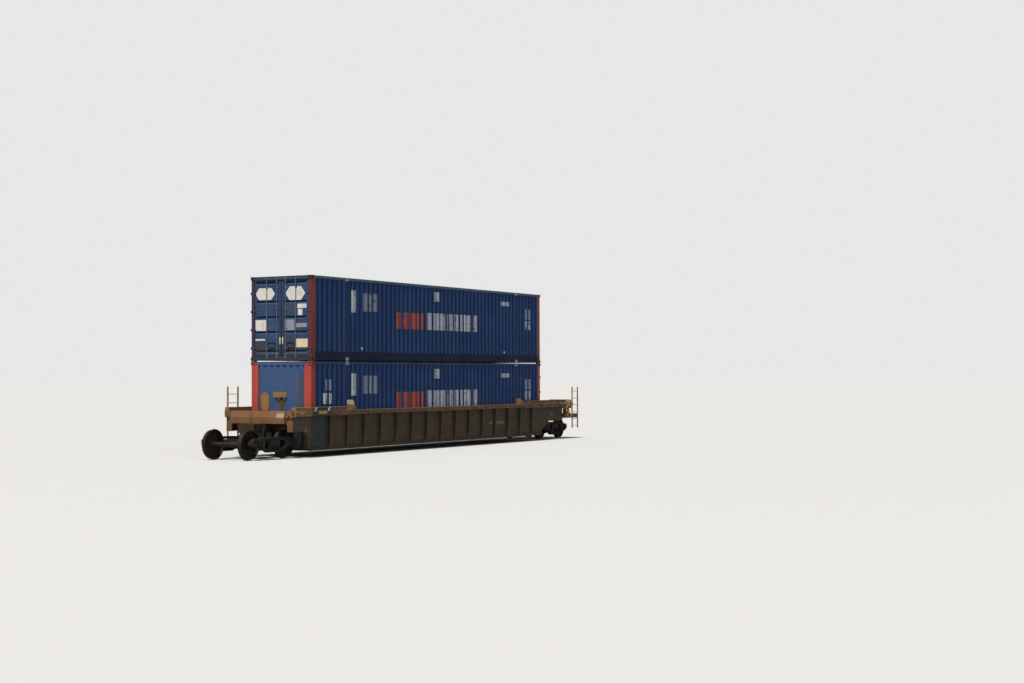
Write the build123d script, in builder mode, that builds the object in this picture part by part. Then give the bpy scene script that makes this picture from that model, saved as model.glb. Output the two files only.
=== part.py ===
from build123d import *
import os

os.makedirs("parts", exist_ok=True)

# One unit of a container well car with two closed containers, one on the other.
# X runs along the rails, with the articulated end at -X and the coupler end at +X.
# -Y is the near side, and z = 0 is the floor under the tips of the wheel flanges.

# Containers: outside sizes and where they stand
box_length = 16154.0
box_width = 2591.0
box_height = 2896.0
seat_height = 30.0
box_gap = 28.0

# Containers: frame
casting_length = 178.0
casting_width = 162.0
casting_height = 118.0
casting_hole_height = 63.0
casting_hole_depth = 30.0
casting_top_hole = 124.0
casting_side_hole = 102.0
casting_end_hole = 79.0
pad_hole_depth = 4.0
post_inset = 20.0
post_length = 230.0
post_width = 120.0
front_post_width = 290.0
mid_post_x = 5992.0
mid_post_width = 200.0
mid_post_proud = 1.0
rail_width = 60.0
rail_inset = 6.0
rail_clear = 5.0
bottom_rail_height = 310.0
top_rail_height = 95.0
sill_height = 160.0
header_height = 130.0
floor_z = 125.0
floor_thickness = 30.0
bearer_pitch = 390.0
bearer_width = 44.0
bearer_clear = 15.0

# Containers: folded sheets
sheet = 2.5
wave_pitch = 281.5
wave_depth = 36.0
front_pitch = 281.5
roof_pitch = 226.0
roof_depth = 15.0
roof_clear = 8.0
crest_share = 0.28

# Containers: doors, each with two rods
door_thickness = 45.0
door_inset = 46.0
door_seam = 12.0
door_gap = 8.0
groove_heights = [311.0, 961.0, 1471.0, 2006.0, 2661.0]
groove_height = 110.0
groove_depth = 32.0
groove_lip = 8.0
groove_slope = 38.0
groove_seam_margin = 110.0
groove_hinge_margin = 80.0
hinge_heights = [430.0, 1060.0, 1690.0, 2320.0]
hinge_height = 36.0
hinge_blade = 8.0
hinge_length = 55.0
hinge_radius = 10.0
hinge_inset_x = 7.0
hinge_inset_y = 1.0
lug_height = 20.0
rod_inner_y = 190.0
rod_outer_y = 620.0
rod_radius = 13.0
rod_stand = 8.0
rod_cam_height = 30.0
rod_bracket = 60.0
rod_bracket_heights = [225.0, 1100.0, 1800.0, 2500.0]
handle_reach = 370.0
handle_bend = 95.0
handle_rise = 65.0
handle_width = 32.0
handle_thickness = 10.0
handle_heights = [575.0, 400.0]
running_gap = 0.3

# Well car: side sills
well_clear = 53.0
sill_clear = 29.5
plate = 16.0
sill_left_reach = 1070.0
sill_right_reach = 1820.0
sill_bottom_z = 300.0
chord_z = 1420.0
chord_top_z = 1570.0
chord_depth = 175.0
end_chord_z = 1390.0
end_chord_top_z = 1700.0
end_chord_left = 308.0
end_chord_right = 208.0
arch_left_reach = 220.0
arch_left_z = 890.0
arch_left_radius = 300.0
arch_right_inset = 230.0
arch_right_z = 800.0
arch_right_run = 810.0
foot_flange = 90.0
rib_margin = 100.0
rib_pitch = 1020.0
rib_width = 90.0
rib_depth = 105.0
rib_foot_depth = 75.0

# Well car: open floor and ends
floor_chord_z = 225.0
floor_chord_top_z = 325.0
floor_chord_width = 120.0
cross_bearer_first = 1200.0
cross_bearer_pitch = 2400.0
cross_bearer_end = 430.0
cross_bearer_width = 180.0
brace_width = 90.0
brace_height = 60.0
seat_length = 200.0
guide_clear = 15.0
guide_left_out = 48.0
guide_left_length = 290.0
guide_left_top_z = 1910.0
guide_right_gap = 50.0
guide_right_length = 230.0
guide_right_top_z = 1800.0
guide_foot_inset = 5.0
guide_waist_inset = 20.0
guide_waist_rise = 90.0
guide_top_depth = 70.0
bulkhead_top_z = 1500.0
bulkhead_rib = 80.0
bulkhead_rib_y = [200.0, 600.0, 1000.0]

# Trucks
truck_reach = 1670.0
bowl_z = 680.0
bowl_height = 40.0
bowl_radius = 200.0
centre_radius = 190.0
bolster_height = 200.0
bolster_width = 390.0
bolster_half = 1120.0
flange_height = 25.0
wheel_back_y = 678.0
wheel_width = 140.0
axle_radius = 82.0
journal_y = 1005.0
bearing_radius = 108.0
bearing_length = 150.0
bearing_gap = 0.4
frame_thickness = 150.0
frame_rise = 60.0
frame_drop = 260.0
frame_tail = 190.0
window_half = 225.0
spring_pitch = 140.0
spring_radius = 62.0
spring_seat_drop = 190.0
beam_x = 280.0
beam_drop = 80.0
beam_size = 60.0
shoe_gap = 8.0
shoe_height = 240.0
shoe_width = 80.0
shoe_wrap = 40.0
shoe_out = 15.0
side_bearer_y = 635.0

# Articulated end
centre_sill_half = 330.0
centre_sill_z = 860.0
centre_sill_top_z = 1160.0
beam_left_width = 120.0
beam_left_top_z = 1590.0
beam_left_slope = 210.0
end_post_inset = 155.0
end_post_depth = 40.0
end_post_width = 230.0
end_post_z = 890.0
end_post_head = 230.0
end_post_lip = 30.0
end_post_hole = 34.0
connector_reach = 150.0
stand_inset = 115.0
stand_width = 540.0
stand_leg = 30.0
stand_leg_width = 140.0
stand_brace_width = 60.0
stand_depth = 240.0
stand_top_z = 2220.0
stand_shelf_z = 2050.0
panel_y = [-420.0, -80.0]
panel_top_z = 2190.0

# Coupler end
deck_length = 1160.0
deck_z = 1050.0
deck_plate = 25.0
stringer_out = 155.0
stringer_width = 100.0
stringer_z = 900.0
stub_sill_half = 230.0
stub_sill_z = 780.0
stub_wall = 30.0
bolster_z = 860.0
body_bolster_inner = 150.0
body_bolster_outer = 60.0
carrier_inset = 50.0
carrier_length = 60.0
pivot_radius = 60.0
pocket_length = 860.0
coupler_z = 901.0
coupler_pivot_inset = 660.0
coupler_reach = 290.0
shank = 130.0
head_height = 260.0
brake_wheel_inset = 320.0
brake_wheel_height = 195.0
brake_wheel_radius = 270.0
brake_wheel_rim = 24.0
brake_box_width = 200.0
brake_box_depth = 150.0
tank_inset = 310.0
tank_clear = 235.0
tank_radius = 190.0
tank_dome = 90.0
tank_end_inset = 100.0
tank_length = 1180.0
valve_y = 450.0
valve_width = 400.0
valve_length = 240.0
valve_height = 320.0

# Ladders and handholds
rung_pitch = 300.0
rung_count = 6
rung_radius = 11.0
rung_foot = 110.0
ladder_rail = 44.0
ladder_stand_off = 40.0
handhold_length = 460.0
handhold_inset = 50.0
handhold_out = 45.0

# Sizes that follow from the ones above
half_length = box_length / 2
half_width = box_width / 2
lower_box_z = floor_chord_top_z + seat_height
well_half = half_length + well_clear
sill_inner_y = half_width + sill_clear
sill_left_x = -(well_half + sill_left_reach)
sill_right_x = well_half + sill_right_reach
arch_left_x = -(well_half + arch_left_reach)
arch_right_x = well_half - arch_right_inset
end_chord_left_x = -(mid_post_x + end_chord_left)
end_chord_right_x = mid_post_x + end_chord_right
rib_half_count = int((well_half - rib_margin) // rib_pitch)
beam_right_x = sill_left_x - end_post_depth
beam_left_x = beam_right_x - beam_left_width
end_post_y = sill_inner_y - end_post_inset
end_beam_x = sill_right_x + deck_length
stringer_y = sill_inner_y + stringer_out
deck_top_z = deck_z + deck_plate
pocket_x = end_beam_x - pocket_length
coupler_pivot_x = end_beam_x - coupler_pivot_inset
coupler_face_x = end_beam_x + coupler_reach
brake_wheel_x = sill_right_x + brake_wheel_inset
brake_wheel_z = deck_top_z + brake_wheel_height
tank_x = end_beam_x - tank_inset
tank_z = deck_top_z + tank_clear + tank_radius
tank_near_y = -(stringer_y - tank_end_inset)
tank_far_y = tank_near_y + tank_length
truck_x = well_half + truck_reach
post_outer_x = half_length - post_inset
post_outer_y = half_width - post_inset
post_inner_x = post_outer_x - post_length
post_inner_y = post_outer_y - post_width
front_inner_y = post_outer_y - front_post_width
casting_inner_x = half_length - casting_length
casting_inner_y = half_width - casting_width
casting_x = half_length - casting_length / 2
casting_y = half_width - casting_width / 2
wall_y = half_width - rail_inset
rail_inner_y = wall_y - rail_width
mid_post_in = mid_post_x - mid_post_width / 2
mid_post_out = mid_post_x + mid_post_width / 2
hinge_x = half_length - hinge_inset_x
hinge_y = half_width - hinge_inset_y
door_outer_x = half_length - door_inset
door_inner_x = door_outer_x - door_thickness
door_edge_y = post_inner_y - door_gap
rod_x = door_outer_x + rod_stand + rod_radius
web_outer_y = sill_inner_y + plate
chord_outer_y = sill_inner_y + chord_depth
chord_inner_y = sill_inner_y - floor_chord_width
end_sill_x = well_half + plate + bulkhead_rib
bolster_low_z = bowl_z - bowl_height - bolster_height
bolster_top_z = bowl_z - bowl_height
frame_in_y = journal_y - frame_thickness / 2
frame_out_y = journal_y + frame_thickness / 2

stack = [
    # name, base height, end that the doors face, whether the tops of its castings are open
    ("lower", lower_box_z, 1, False),
    ("upper", lower_box_z + box_height + box_gap, -1, True),
]
trucks = [
    # name, centre, wheelbase, radius of the wheel treads
    ("left", -truck_x, 1830.0, 482.5),
    ("right", truck_x, 1730.0, 419.0),
]
sides = [("near", -1), ("far", 1)]
ends = [("left", -1), ("right", 1)]
door_groups = [
    # container, name of the doors, name of their rods, sides: the lower doors are shut in
    ("lower", "lower_doors", "lower_rods", sides),
    ("upper", "upper_door_near", "upper_rods_near", sides[:1]),
    ("upper", "upper_door_far", "upper_rods_far", sides[1:]),
]


def span(side, low, high):
    # The same stretch on either side of the middle, lowest end first
    return tuple(sorted((side * low, side * high)))


def block(x, y, z, mode=Mode.ADD):
    # A block given by its low and high place along each axis
    with Locations(((x[0] + x[1]) / 2, (y[0] + y[1]) / 2, (z[0] + z[1]) / 2)):
        Box(x[1] - x[0], y[1] - y[0], z[1] - z[0], mode=mode)


def profile_plate(plane, points, amount, mode=Mode.ADD):
    # A straight-edged outline on a plane, given its thickness
    with BuildSketch(plane) as outline:
        with BuildLine():
            Polyline(*points, close=True)
        make_face()
    extrude(outline.sketch, amount=amount, mode=mode)


def cross_plane(x):
    # Across the car: sketch x is Y and sketch y is Z, thickness towards +X
    return Plane(origin=(x, 0, 0), x_dir=(0, 1, 0), z_dir=(1, 0, 0))


def side_plane(y):
    # Along the car: sketch x is X and sketch y is Z, thickness towards -Y
    return Plane(origin=(0, y, 0), x_dir=(1, 0, 0), z_dir=(0, -1, 0))


def disc(plane, radius, amount):
    with BuildSketch(plane) as circle:
        Circle(radius)
    extrude(circle.sketch, amount=amount)


def round_bar(start, end, radius):
    path = Vector(*end) - Vector(*start)
    disc(Plane(origin=start, z_dir=path), radius, path.length)


def oval_recess(plane, length, depth):
    # A blind oval recess sunk from its plane
    with BuildSketch(plane) as oval:
        SlotOverall(length, casting_hole_height)
    extrude(oval.sketch, amount=-depth, mode=Mode.SUBTRACT)


def wave(start, end, pitch, depth):
    # A folded line from start to end: crests at 0 and valleys at -depth, the rest flat at the end
    direction = 1 if end > start else -1
    length = abs(end - start)
    count = max(1, round(length / pitch))
    step = min(pitch, length / count)
    flat = crest_share * step
    slope = step / 2 - flat
    points = [(start, 0.0)]
    for index in range(count):
        place = index * step
        for along, height in ((flat / 2, 0.0), (flat / 2 + slope, -depth),
                              (flat * 3 / 2 + slope, -depth), (flat * 3 / 2 + 2 * slope, 0.0)):
            points.append((start + direction * (place + along), height))
    points.append((end, 0.0))
    return points


def folded_wall(plane, start, end, pitch, depth, outward, height):
    # A folded sheet standing on a plane, its crests on the plane's own X axis
    outer = [(along, outward * out) for along, out in wave(start, end, pitch, depth)]
    inner = [(along, out - outward * sheet) for along, out in reversed(outer)]
    profile_plate(plane, outer + inner, height)


def save(part, name):
    part.label = name
    export_step(part, f"parts/{name}.step")


# Containers
for name, base_z, door_end, open_top in stack:
    top_z = base_z + box_height
    wall_z = base_z + bottom_rail_height
    wall_top_z = top_z - top_rail_height
    wall_height = wall_top_z - wall_z
    floor_low_z = base_z + floor_z

    # Floor on its cross bearers, between the bottom side rails
    with BuildPart() as base:
        block((-post_inner_x, post_inner_x), (-rail_inner_y, rail_inner_y),
              (floor_low_z, floor_low_z + floor_thickness))
        for side_name, side in sides:
            block((-post_inner_x, post_inner_x), span(side, rail_inner_y, wall_y),
                  (base_z + rail_clear, wall_z))
        bearer_steps = int((post_inner_x - bearer_width) // bearer_pitch)
        for index in range(-bearer_steps, bearer_steps + 1):
            bearer_x = index * bearer_pitch
            block((bearer_x - bearer_width / 2, bearer_x + bearer_width / 2),
                  (-rail_inner_y, rail_inner_y), (base_z + bearer_clear, floor_low_z))
    save(base.part, f"{name}_base")

    # Corner posts with their castings, and the hinge lugs of the doors
    with BuildPart() as corner_posts:
        for end_name, end in ends:
            inner_y = post_inner_y if end == door_end else front_inner_y
            for side_name, side in sides:
                block(span(end, post_inner_x, post_outer_x), span(side, inner_y, post_outer_y),
                      (base_z + casting_height, top_z - casting_height))
                for low_z, foot_z in ((base_z, base_z + rail_clear),
                                      (top_z - casting_height, top_z - casting_height)):
                    head_z = foot_z + casting_height - rail_clear
                    block(span(end, casting_inner_x, half_length),
                          span(side, casting_inner_y, half_width), (low_z, low_z + casting_height))
                    block(span(end, post_inner_x, casting_inner_x),
                          span(side, casting_inner_y, post_outer_y), (foot_z, head_z))
                    hole_z = low_z + casting_height / 2
                    oval_recess(Plane(origin=(end * casting_x, side * half_width, hole_z),
                                      x_dir=(1, 0, 0), z_dir=(0, side, 0)),
                                casting_side_hole, casting_hole_depth)
                    oval_recess(Plane(origin=(end * half_length, side * casting_y, hole_z),
                                      x_dir=(0, 1, 0), z_dir=(end, 0, 0)),
                                casting_end_hole, casting_hole_depth)
                if open_top:
                    oval_recess(Plane(origin=(end * casting_x, side * casting_y, top_z),
                                      x_dir=(1, 0, 0), z_dir=(0, 0, 1)),
                                casting_top_hole, casting_hole_depth)
        for side_name, side in sides:
            for height in hinge_heights:
                for lug_z in (-hinge_height / 2 - lug_height, hinge_height / 2 + running_gap):
                    low_z = base_z + height + lug_z
                    block(span(door_end, post_outer_x - rail_clear, hinge_x),
                          span(side, post_outer_y - rail_clear, hinge_y),
                          (low_z, low_z + lug_height - running_gap))
                    disc(Plane(origin=(door_end * hinge_x, side * hinge_y, low_z),
                               z_dir=(0, 0, 1)), hinge_radius, lug_height - running_gap)
    save(corner_posts.part, f"{name}_corner_posts")

    # Door sill and header, and the same rails at the front wall
    with BuildPart() as end_rails:
        for end_name, end in ends:
            inner_y = post_inner_y if end == door_end else front_inner_y
            rail_x = span(end, post_inner_x, post_outer_x)
            between_castings = (-casting_inner_y, casting_inner_y)
            between_posts = (-inner_y, inner_y)
            block(rail_x, between_castings, (base_z + rail_clear, base_z + casting_height))
            block(rail_x, between_posts, (base_z + casting_height, base_z + sill_height))
            block(rail_x, between_posts, (top_z - header_height, top_z - casting_height))
            block(rail_x, between_castings, (top_z - casting_height, top_z - rail_clear))
    save(end_rails.part, f"{name}_end_rails")

    # Posts where a crane lifts a box of this size, with a casting plate at top and bottom
    with BuildPart() as mid_posts:
        for end_name, end in ends:
            for side_name, side in sides:
                block(span(end, mid_post_in, mid_post_out),
                      span(side, rail_inner_y, wall_y + mid_post_proud), (wall_z, wall_top_z))
                for low_z in (base_z, top_z - casting_height):
                    block(span(end, mid_post_x - casting_length / 2, mid_post_x + casting_length / 2),
                          span(side, wall_y, half_width), (low_z, low_z + casting_height))
                    oval_recess(Plane(origin=(end * mid_post_x, side * half_width,
                                              low_z + casting_height / 2),
                                      x_dir=(1, 0, 0), z_dir=(0, side, 0)),
                                casting_side_hole, pad_hole_depth)
    save(mid_posts.part, f"{name}_mid_posts")

    with BuildPart() as walls:
        for side_name, side in sides:
            wall_plane = Plane(origin=(0, side * wall_y, wall_z), x_dir=(1, 0, 0), z_dir=(0, 0, 1))
            for start, end in ((-post_inner_x, -mid_post_out), (-mid_post_in, mid_post_in),
                               (post_inner_x, mid_post_out)):
                folded_wall(wall_plane, start, end, wave_pitch, wave_depth, side, wall_height)
    save(walls.part, f"{name}_sides")

    # The front wall begins and ends in a valley
    with BuildPart() as front_wall:
        front_plane = Plane(origin=(-door_end * (post_outer_x - rail_clear - wave_depth), 0,
                                    base_z + sill_height),
                            x_dir=(0, door_end, 0), z_dir=(0, 0, 1))
        folded_wall(front_plane, -front_inner_y, front_inner_y, front_pitch, wave_depth, -1,
                    box_height - sill_height - header_height)
    save(front_wall.part, f"{name}_front_wall")

    # Roof sheet with folds across the box, between the top side rails
    with BuildPart() as roof:
        for side_name, side in sides:
            block((-post_inner_x, post_inner_x), span(side, rail_inner_y, wall_y),
                  (wall_top_z, top_z - rail_clear))
        roof_plane = Plane(origin=(0, rail_inner_y, top_z - roof_clear), x_dir=(1, 0, 0),
                           z_dir=(0, -1, 0))
        folded_wall(roof_plane, -post_inner_x, post_inner_x, roof_pitch, roof_depth, 1,
                    2 * rail_inner_y)
    save(roof.part, f"{name}_roof")

    door_z = (base_z + sill_height + door_gap, top_z - header_height - door_gap)
    for box_name, doors_name, rods_name, door_sides in door_groups:
        if box_name != name:
            continue
        with BuildPart() as doors:
            for side_name, side in door_sides:
                block(span(door_end, door_inner_x, door_outer_x),
                      span(side, door_seam / 2, door_edge_y), door_z)
                low_y, high_y = span(side, door_seam / 2 + groove_seam_margin,
                                     door_edge_y - groove_hinge_margin)
                for height in groove_heights:
                    low_z = base_z + height - groove_height / 2
                    high_z = base_z + height + groove_height / 2
                    points = [(half_length, high_z), (door_outer_x, high_z),
                              (door_outer_x - groove_depth, high_z - groove_lip),
                              (door_outer_x - groove_depth, low_z + groove_slope),
                              (door_outer_x, low_z), (half_length, low_z)]
                    profile_plate(side_plane(high_y), [(door_end * x, z) for x, z in points],
                                  high_y - low_y, Mode.SUBTRACT)
                for height in hinge_heights:
                    blade_z = (base_z + height - hinge_height / 2,
                               base_z + height + hinge_height / 2)
                    block(span(door_end, hinge_x - hinge_blade, hinge_x),
                          span(side, door_edge_y - hinge_length, hinge_y), blade_z)
                    disc(Plane(origin=(door_end * hinge_x, side * hinge_y, blade_z[0]),
                               z_dir=(0, 0, 1)), hinge_radius, hinge_height)
                    block(span(door_end, door_outer_x, hinge_x),
                          span(side, door_edge_y - hinge_length, door_edge_y), blade_z)
        save(doors.part, doors_name)

        # Rods on brackets, with a handle each that reaches over to the other rod
        with BuildPart() as rods:
            for side_name, side in door_sides:
                for reach_side, rod_y, handle_height in (
                        (-1, max(side * rod_inner_y, side * rod_outer_y), handle_heights[0]),
                        (1, min(side * rod_inner_y, side * rod_outer_y), handle_heights[1])):
                    round_bar((door_end * rod_x, rod_y, door_z[0]),
                              (door_end * rod_x, rod_y, door_z[1]), rod_radius)
                    for height in rod_bracket_heights:
                        block(span(door_end, door_outer_x, rod_x - rod_radius / 4),
                              (rod_y - rod_bracket / 2, rod_y + rod_bracket / 2),
                              (base_z + height - rod_cam_height / 2,
                               base_z + height + rod_cam_height / 2))
                    low_z = base_z + handle_height
                    arch = [(0, 0), (handle_bend, handle_rise),
                            (handle_reach - handle_bend, handle_rise), (handle_reach, 0)]
                    under = [(along, rise - handle_width) for along, rise in reversed(arch)]
                    profile_plate(cross_plane(door_end * rod_x - handle_thickness / 2),
                                  [(rod_y + reach_side * along, low_z + rise)
                                   for along, rise in arch + under], handle_thickness)
        save(rods.part, rods_name)

# Locking blocks between the two containers
with BuildPart() as box_locks:
    for end_name, end in ends:
        for side_name, side in sides:
            block(span(end, casting_inner_x, post_outer_x), span(side, post_inner_y, post_outer_y),
                  (lower_box_z + box_height, lower_box_z + box_height + box_gap))
save(box_locks.part, "box_locks")

# Seats under the lower container's corners
with BuildPart() as corner_seats:
    for end_name, end in ends:
        for side_name, side in sides:
            block(span(end, half_length - seat_length, half_length),
                  span(side, half_width - seat_length, sill_inner_y),
                  (floor_chord_top_z, lower_box_z))
save(corner_seats.part, "corner_seats")

# Side sills: web with an arch over each truck, box chord, end boxes, ribs and floor chord
with BuildPart() as side_sills:
    for side_name, side in sides:
        web_low, web_high = span(side, sill_inner_y, web_outer_y)
        with BuildSketch(side_plane(web_high)) as web:
            with BuildLine():
                Line((arch_left_x, sill_bottom_z), (arch_right_x, sill_bottom_z))
                Line((arch_right_x, sill_bottom_z), (arch_right_x + arch_right_run, arch_right_z))
                Line((arch_right_x + arch_right_run, arch_right_z), (sill_right_x, arch_right_z))
                Line((sill_right_x, arch_right_z), (sill_right_x, chord_top_z))
                Line((sill_right_x, chord_top_z), (sill_left_x, chord_top_z))
                Line((sill_left_x, chord_top_z), (sill_left_x, arch_left_z))
                Line((sill_left_x, arch_left_z), (arch_left_x - arch_left_radius, arch_left_z))
                RadiusArc((arch_left_x - arch_left_radius, arch_left_z),
                          (arch_left_x, arch_left_z - arch_left_radius), arch_left_radius)
                Line((arch_left_x, arch_left_z - arch_left_radius), (arch_left_x, sill_bottom_z))
            make_face()
        extrude(web.sketch, amount=plate)
        chord_y = span(side, sill_inner_y, chord_outer_y)
        block((sill_left_x, sill_right_x), chord_y, (chord_z, chord_top_z))
        block((sill_left_x, end_chord_left_x), chord_y, (end_chord_z, end_chord_top_z))
        block((end_chord_right_x, sill_right_x), chord_y, (end_chord_z, end_chord_top_z))
        block((arch_left_x, arch_right_x), span(side, sill_inner_y, sill_inner_y + foot_flange),
              (sill_bottom_z, sill_bottom_z + plate))
        block((-well_half, well_half), span(side, chord_inner_y, sill_inner_y),
              (floor_chord_z, floor_chord_top_z))
        for index in range(-rib_half_count, rib_half_count + 1):
            rib_x = index * rib_pitch
            profile_plate(cross_plane(rib_x - rib_width / 2),
                          [(side * sill_inner_y, sill_bottom_z),
                           (side * (web_outer_y + rib_foot_depth), sill_bottom_z),
                           (side * (web_outer_y + rib_depth), chord_z + plate),
                           (side * sill_inner_y, chord_z + plate)], rib_width)
save(side_sills.part, "side_sills")

# Cross bearers of the open floor, with braces between them, between the floor chords
bearer_places = [cross_bearer_first, cross_bearer_first + cross_bearer_pitch, mid_post_x,
                 well_half - cross_bearer_end]
with BuildPart() as cross_bearers:
    for end_name, end in ends:
        for low_x, high_x in zip(bearer_places[:2], bearer_places[1:3]):
            for side_name, side in sides:
                points = [(end * low_x, 0), (end * high_x, side * chord_inner_y),
                          (end * high_x, side * (chord_inner_y - brace_width)),
                          (end * (low_x + brace_width), 0)]
                profile_plate(Plane.XY.offset(floor_chord_z), points, brace_height)
        for bearer_x in bearer_places:
            block(span(end, bearer_x - cross_bearer_width / 2, bearer_x + cross_bearer_width / 2),
                  (-chord_inner_y, chord_inner_y), (floor_chord_z, floor_chord_top_z))
save(cross_bearers.part, "cross_bearers")

# Guides that lead a short container down between the sills: first and last place, top
guide_left_x = -(mid_post_x + guide_left_out)
guide_right_x = end_chord_right_x - guide_right_gap
guide_places = [
    (guide_left_x, guide_left_x + guide_left_length, guide_left_top_z),
    (guide_right_x - guide_right_length, guide_right_x, guide_right_top_z),
]
with BuildPart() as guides:
    for low_x, high_x, guide_top in guide_places:
        for side_name, side in sides:
            inner_y = half_width + guide_clear
            points = [(inner_y, chord_top_z), (chord_outer_y - guide_foot_inset, chord_top_z),
                      (chord_outer_y - guide_waist_inset, chord_top_z + guide_waist_rise),
                      (inner_y + guide_top_depth, guide_top), (inner_y, guide_top)]
            profile_plate(cross_plane(low_x), [(side * y, z) for y, z in points], high_x - low_x)
save(guides.part, "container_guides")

# Bulkheads that close the well, with upright ribs on their outer face
with BuildPart() as bulkheads:
    for end_name, end in ends:
        block(span(end, well_half, well_half + plate), (-sill_inner_y, sill_inner_y),
              (floor_chord_z, bulkhead_top_z))
        for side_name, side in sides:
            for rib_y in bulkhead_rib_y:
                block(span(end, well_half + plate, end_sill_x),
                      (side * rib_y - plate / 2, side * rib_y + plate / 2),
                      (sill_bottom_z, bulkhead_top_z - plate))
save(bulkheads.part, "bulkheads")

# Articulated end: centre sill, sloped cross beam and end posts
left_truck_x = trucks[0][1]
right_truck_x = trucks[1][1]
with BuildPart() as end_frame_left:
    block((left_truck_x - connector_reach, -end_sill_x), (-centre_sill_half, centre_sill_half),
          (centre_sill_z, centre_sill_top_z))
    beam_end_y = end_post_y - end_post_lip
    profile_plate(side_plane(beam_end_y),
                  [(beam_left_x, centre_sill_top_z), (beam_right_x, centre_sill_top_z),
                   (beam_right_x, beam_left_top_z),
                   (beam_right_x - beam_left_width / 2, beam_left_top_z),
                   (beam_left_x, beam_left_top_z - beam_left_slope)], 2 * beam_end_y)
    for side_name, side in sides:
        block((beam_right_x, sill_left_x), span(side, end_post_y, end_post_y + end_post_width),
              (end_post_z, beam_left_top_z))
        block((beam_right_x - beam_left_width / 2, sill_left_x),
              span(side, beam_end_y, end_post_y + end_post_width + end_post_lip),
              (beam_left_top_z - end_post_head, beam_left_top_z))
        hole_plane = Plane(origin=(beam_left_x, side * (end_post_y + end_post_width / 2),
                                   beam_left_top_z - end_post_head + end_post_lip),
                           x_dir=(0, 1, 0), z_dir=(1, 0, 0))
        with BuildSketch(hole_plane) as hole:
            Circle(end_post_hole)
        extrude(hole.sketch, amount=beam_left_width, mode=Mode.SUBTRACT)
save(end_frame_left.part, "end_frame_left")

with BuildPart() as connector:
    disc(Plane(origin=(left_truck_x, 0, bowl_z + running_gap), z_dir=(0, 0, 1)), centre_radius,
         centre_sill_z - bowl_z - running_gap)
save(connector.part, "articulated_connector")

# Small stand on the cross beam
stand_x = (beam_left_x + plate, beam_left_x + plate + stand_depth)
stand_y = (stand_inset - sill_inner_y, stand_inset - sill_inner_y + stand_width)
with BuildPart() as end_stand:
    block(stand_x, stand_y, (stand_shelf_z, stand_shelf_z + plate))
    block((stand_x[0], stand_x[0] + plate), stand_y, (stand_shelf_z, stand_top_z))
    leg_y = (stand_y[0] + stand_y[1]) / 2
    block((beam_right_x - stand_leg, beam_right_x),
          (leg_y - stand_leg_width / 2, leg_y + stand_leg_width / 2),
          (beam_left_top_z, stand_shelf_z))
    for side_name, side in sides:
        brace_foot_z = beam_left_top_z + stand_brace_width
        profile_plate(cross_plane(beam_right_x - stand_leg),
                      [(leg_y, brace_foot_z), (leg_y + side * stand_width / 2, stand_shelf_z),
                       (leg_y + side * (stand_width / 2 - stand_brace_width), stand_shelf_z),
                       (leg_y, brace_foot_z + 2 * stand_brace_width)], stand_leg)
    block((beam_right_x - plate, beam_right_x), panel_y, (beam_left_top_z, panel_top_z))
save(end_stand.part, "end_stand_left")

# Coupler end: stub sill with a pocket, bolster, stringers, end beam and deck
pocket_half = stub_sill_half - stub_wall
pocket_top_z = deck_z - stub_wall
shank_low_z = coupler_z - shank / 2
shank_top_z = coupler_z + shank / 2
with BuildPart() as stub_sill:
    block((end_sill_x, end_beam_x), (-stub_sill_half, stub_sill_half), (stub_sill_z, deck_z))
    block((pocket_x, end_beam_x), (-pocket_half, pocket_half), (stub_sill_z, pocket_top_z),
          Mode.SUBTRACT)
    block((end_beam_x - carrier_inset - carrier_length, end_beam_x - carrier_inset),
          (-stub_sill_half, stub_sill_half), (stub_sill_z, shank_low_z - running_gap))
    disc(Plane(origin=(coupler_pivot_x, 0, shank_top_z + running_gap), z_dir=(0, 0, 1)),
         pivot_radius, pocket_top_z - shank_top_z - running_gap)
save(stub_sill.part, "stub_sill_right")

with BuildPart() as body_bolster:
    for side_name, side in sides:
        block((right_truck_x - body_bolster_inner, sill_right_x + body_bolster_outer),
              span(side, stub_sill_half, sill_inner_y), (bolster_z, deck_z))
save(body_bolster.part, "body_bolster_right")

with BuildPart() as end_deck:
    block((sill_right_x, end_beam_x), (-stringer_y, stringer_y), (deck_z, deck_top_z))
    for side_name, side in sides:
        block((sill_right_x, end_beam_x), span(side, stringer_y - stringer_width, stringer_y),
              (stringer_z, deck_z))
        block((end_beam_x - stub_wall, end_beam_x), span(side, stub_sill_half, stringer_y),
              (stringer_z, deck_z))
save(end_deck.part, "end_deck_right")

with BuildPart() as centre_plate:
    disc(Plane(origin=(right_truck_x, 0, bowl_z + running_gap), z_dir=(0, 0, 1)), centre_radius,
         stub_sill_z - bowl_z - running_gap)
save(centre_plate.part, "centre_plate_right")

# Coupler: shank, head with its guard arm, and knuckle
with BuildPart() as coupler:
    block((coupler_pivot_x - 80, coupler_face_x - 220), (-shank / 2, shank / 2),
          (shank_low_z, shank_top_z))
    head_plane = Plane.XY.offset(coupler_z - head_height / 2)
    head_points = [(-260, -65), (-260, 65), (-230, 130), (-100, 190), (0, 215), (15, 150),
                   (-100, 100), (-130, 40), (-130, -60), (-115, -60), (-70, -20), (0, 0),
                   (5, -60), (-30, -80), (-15, -150), (-60, -195), (-200, -170), (-230, -130)]
    profile_plate(head_plane, [(coupler_face_x + x, y) for x, y in head_points], head_height)
save(coupler.part, "coupler")

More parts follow.
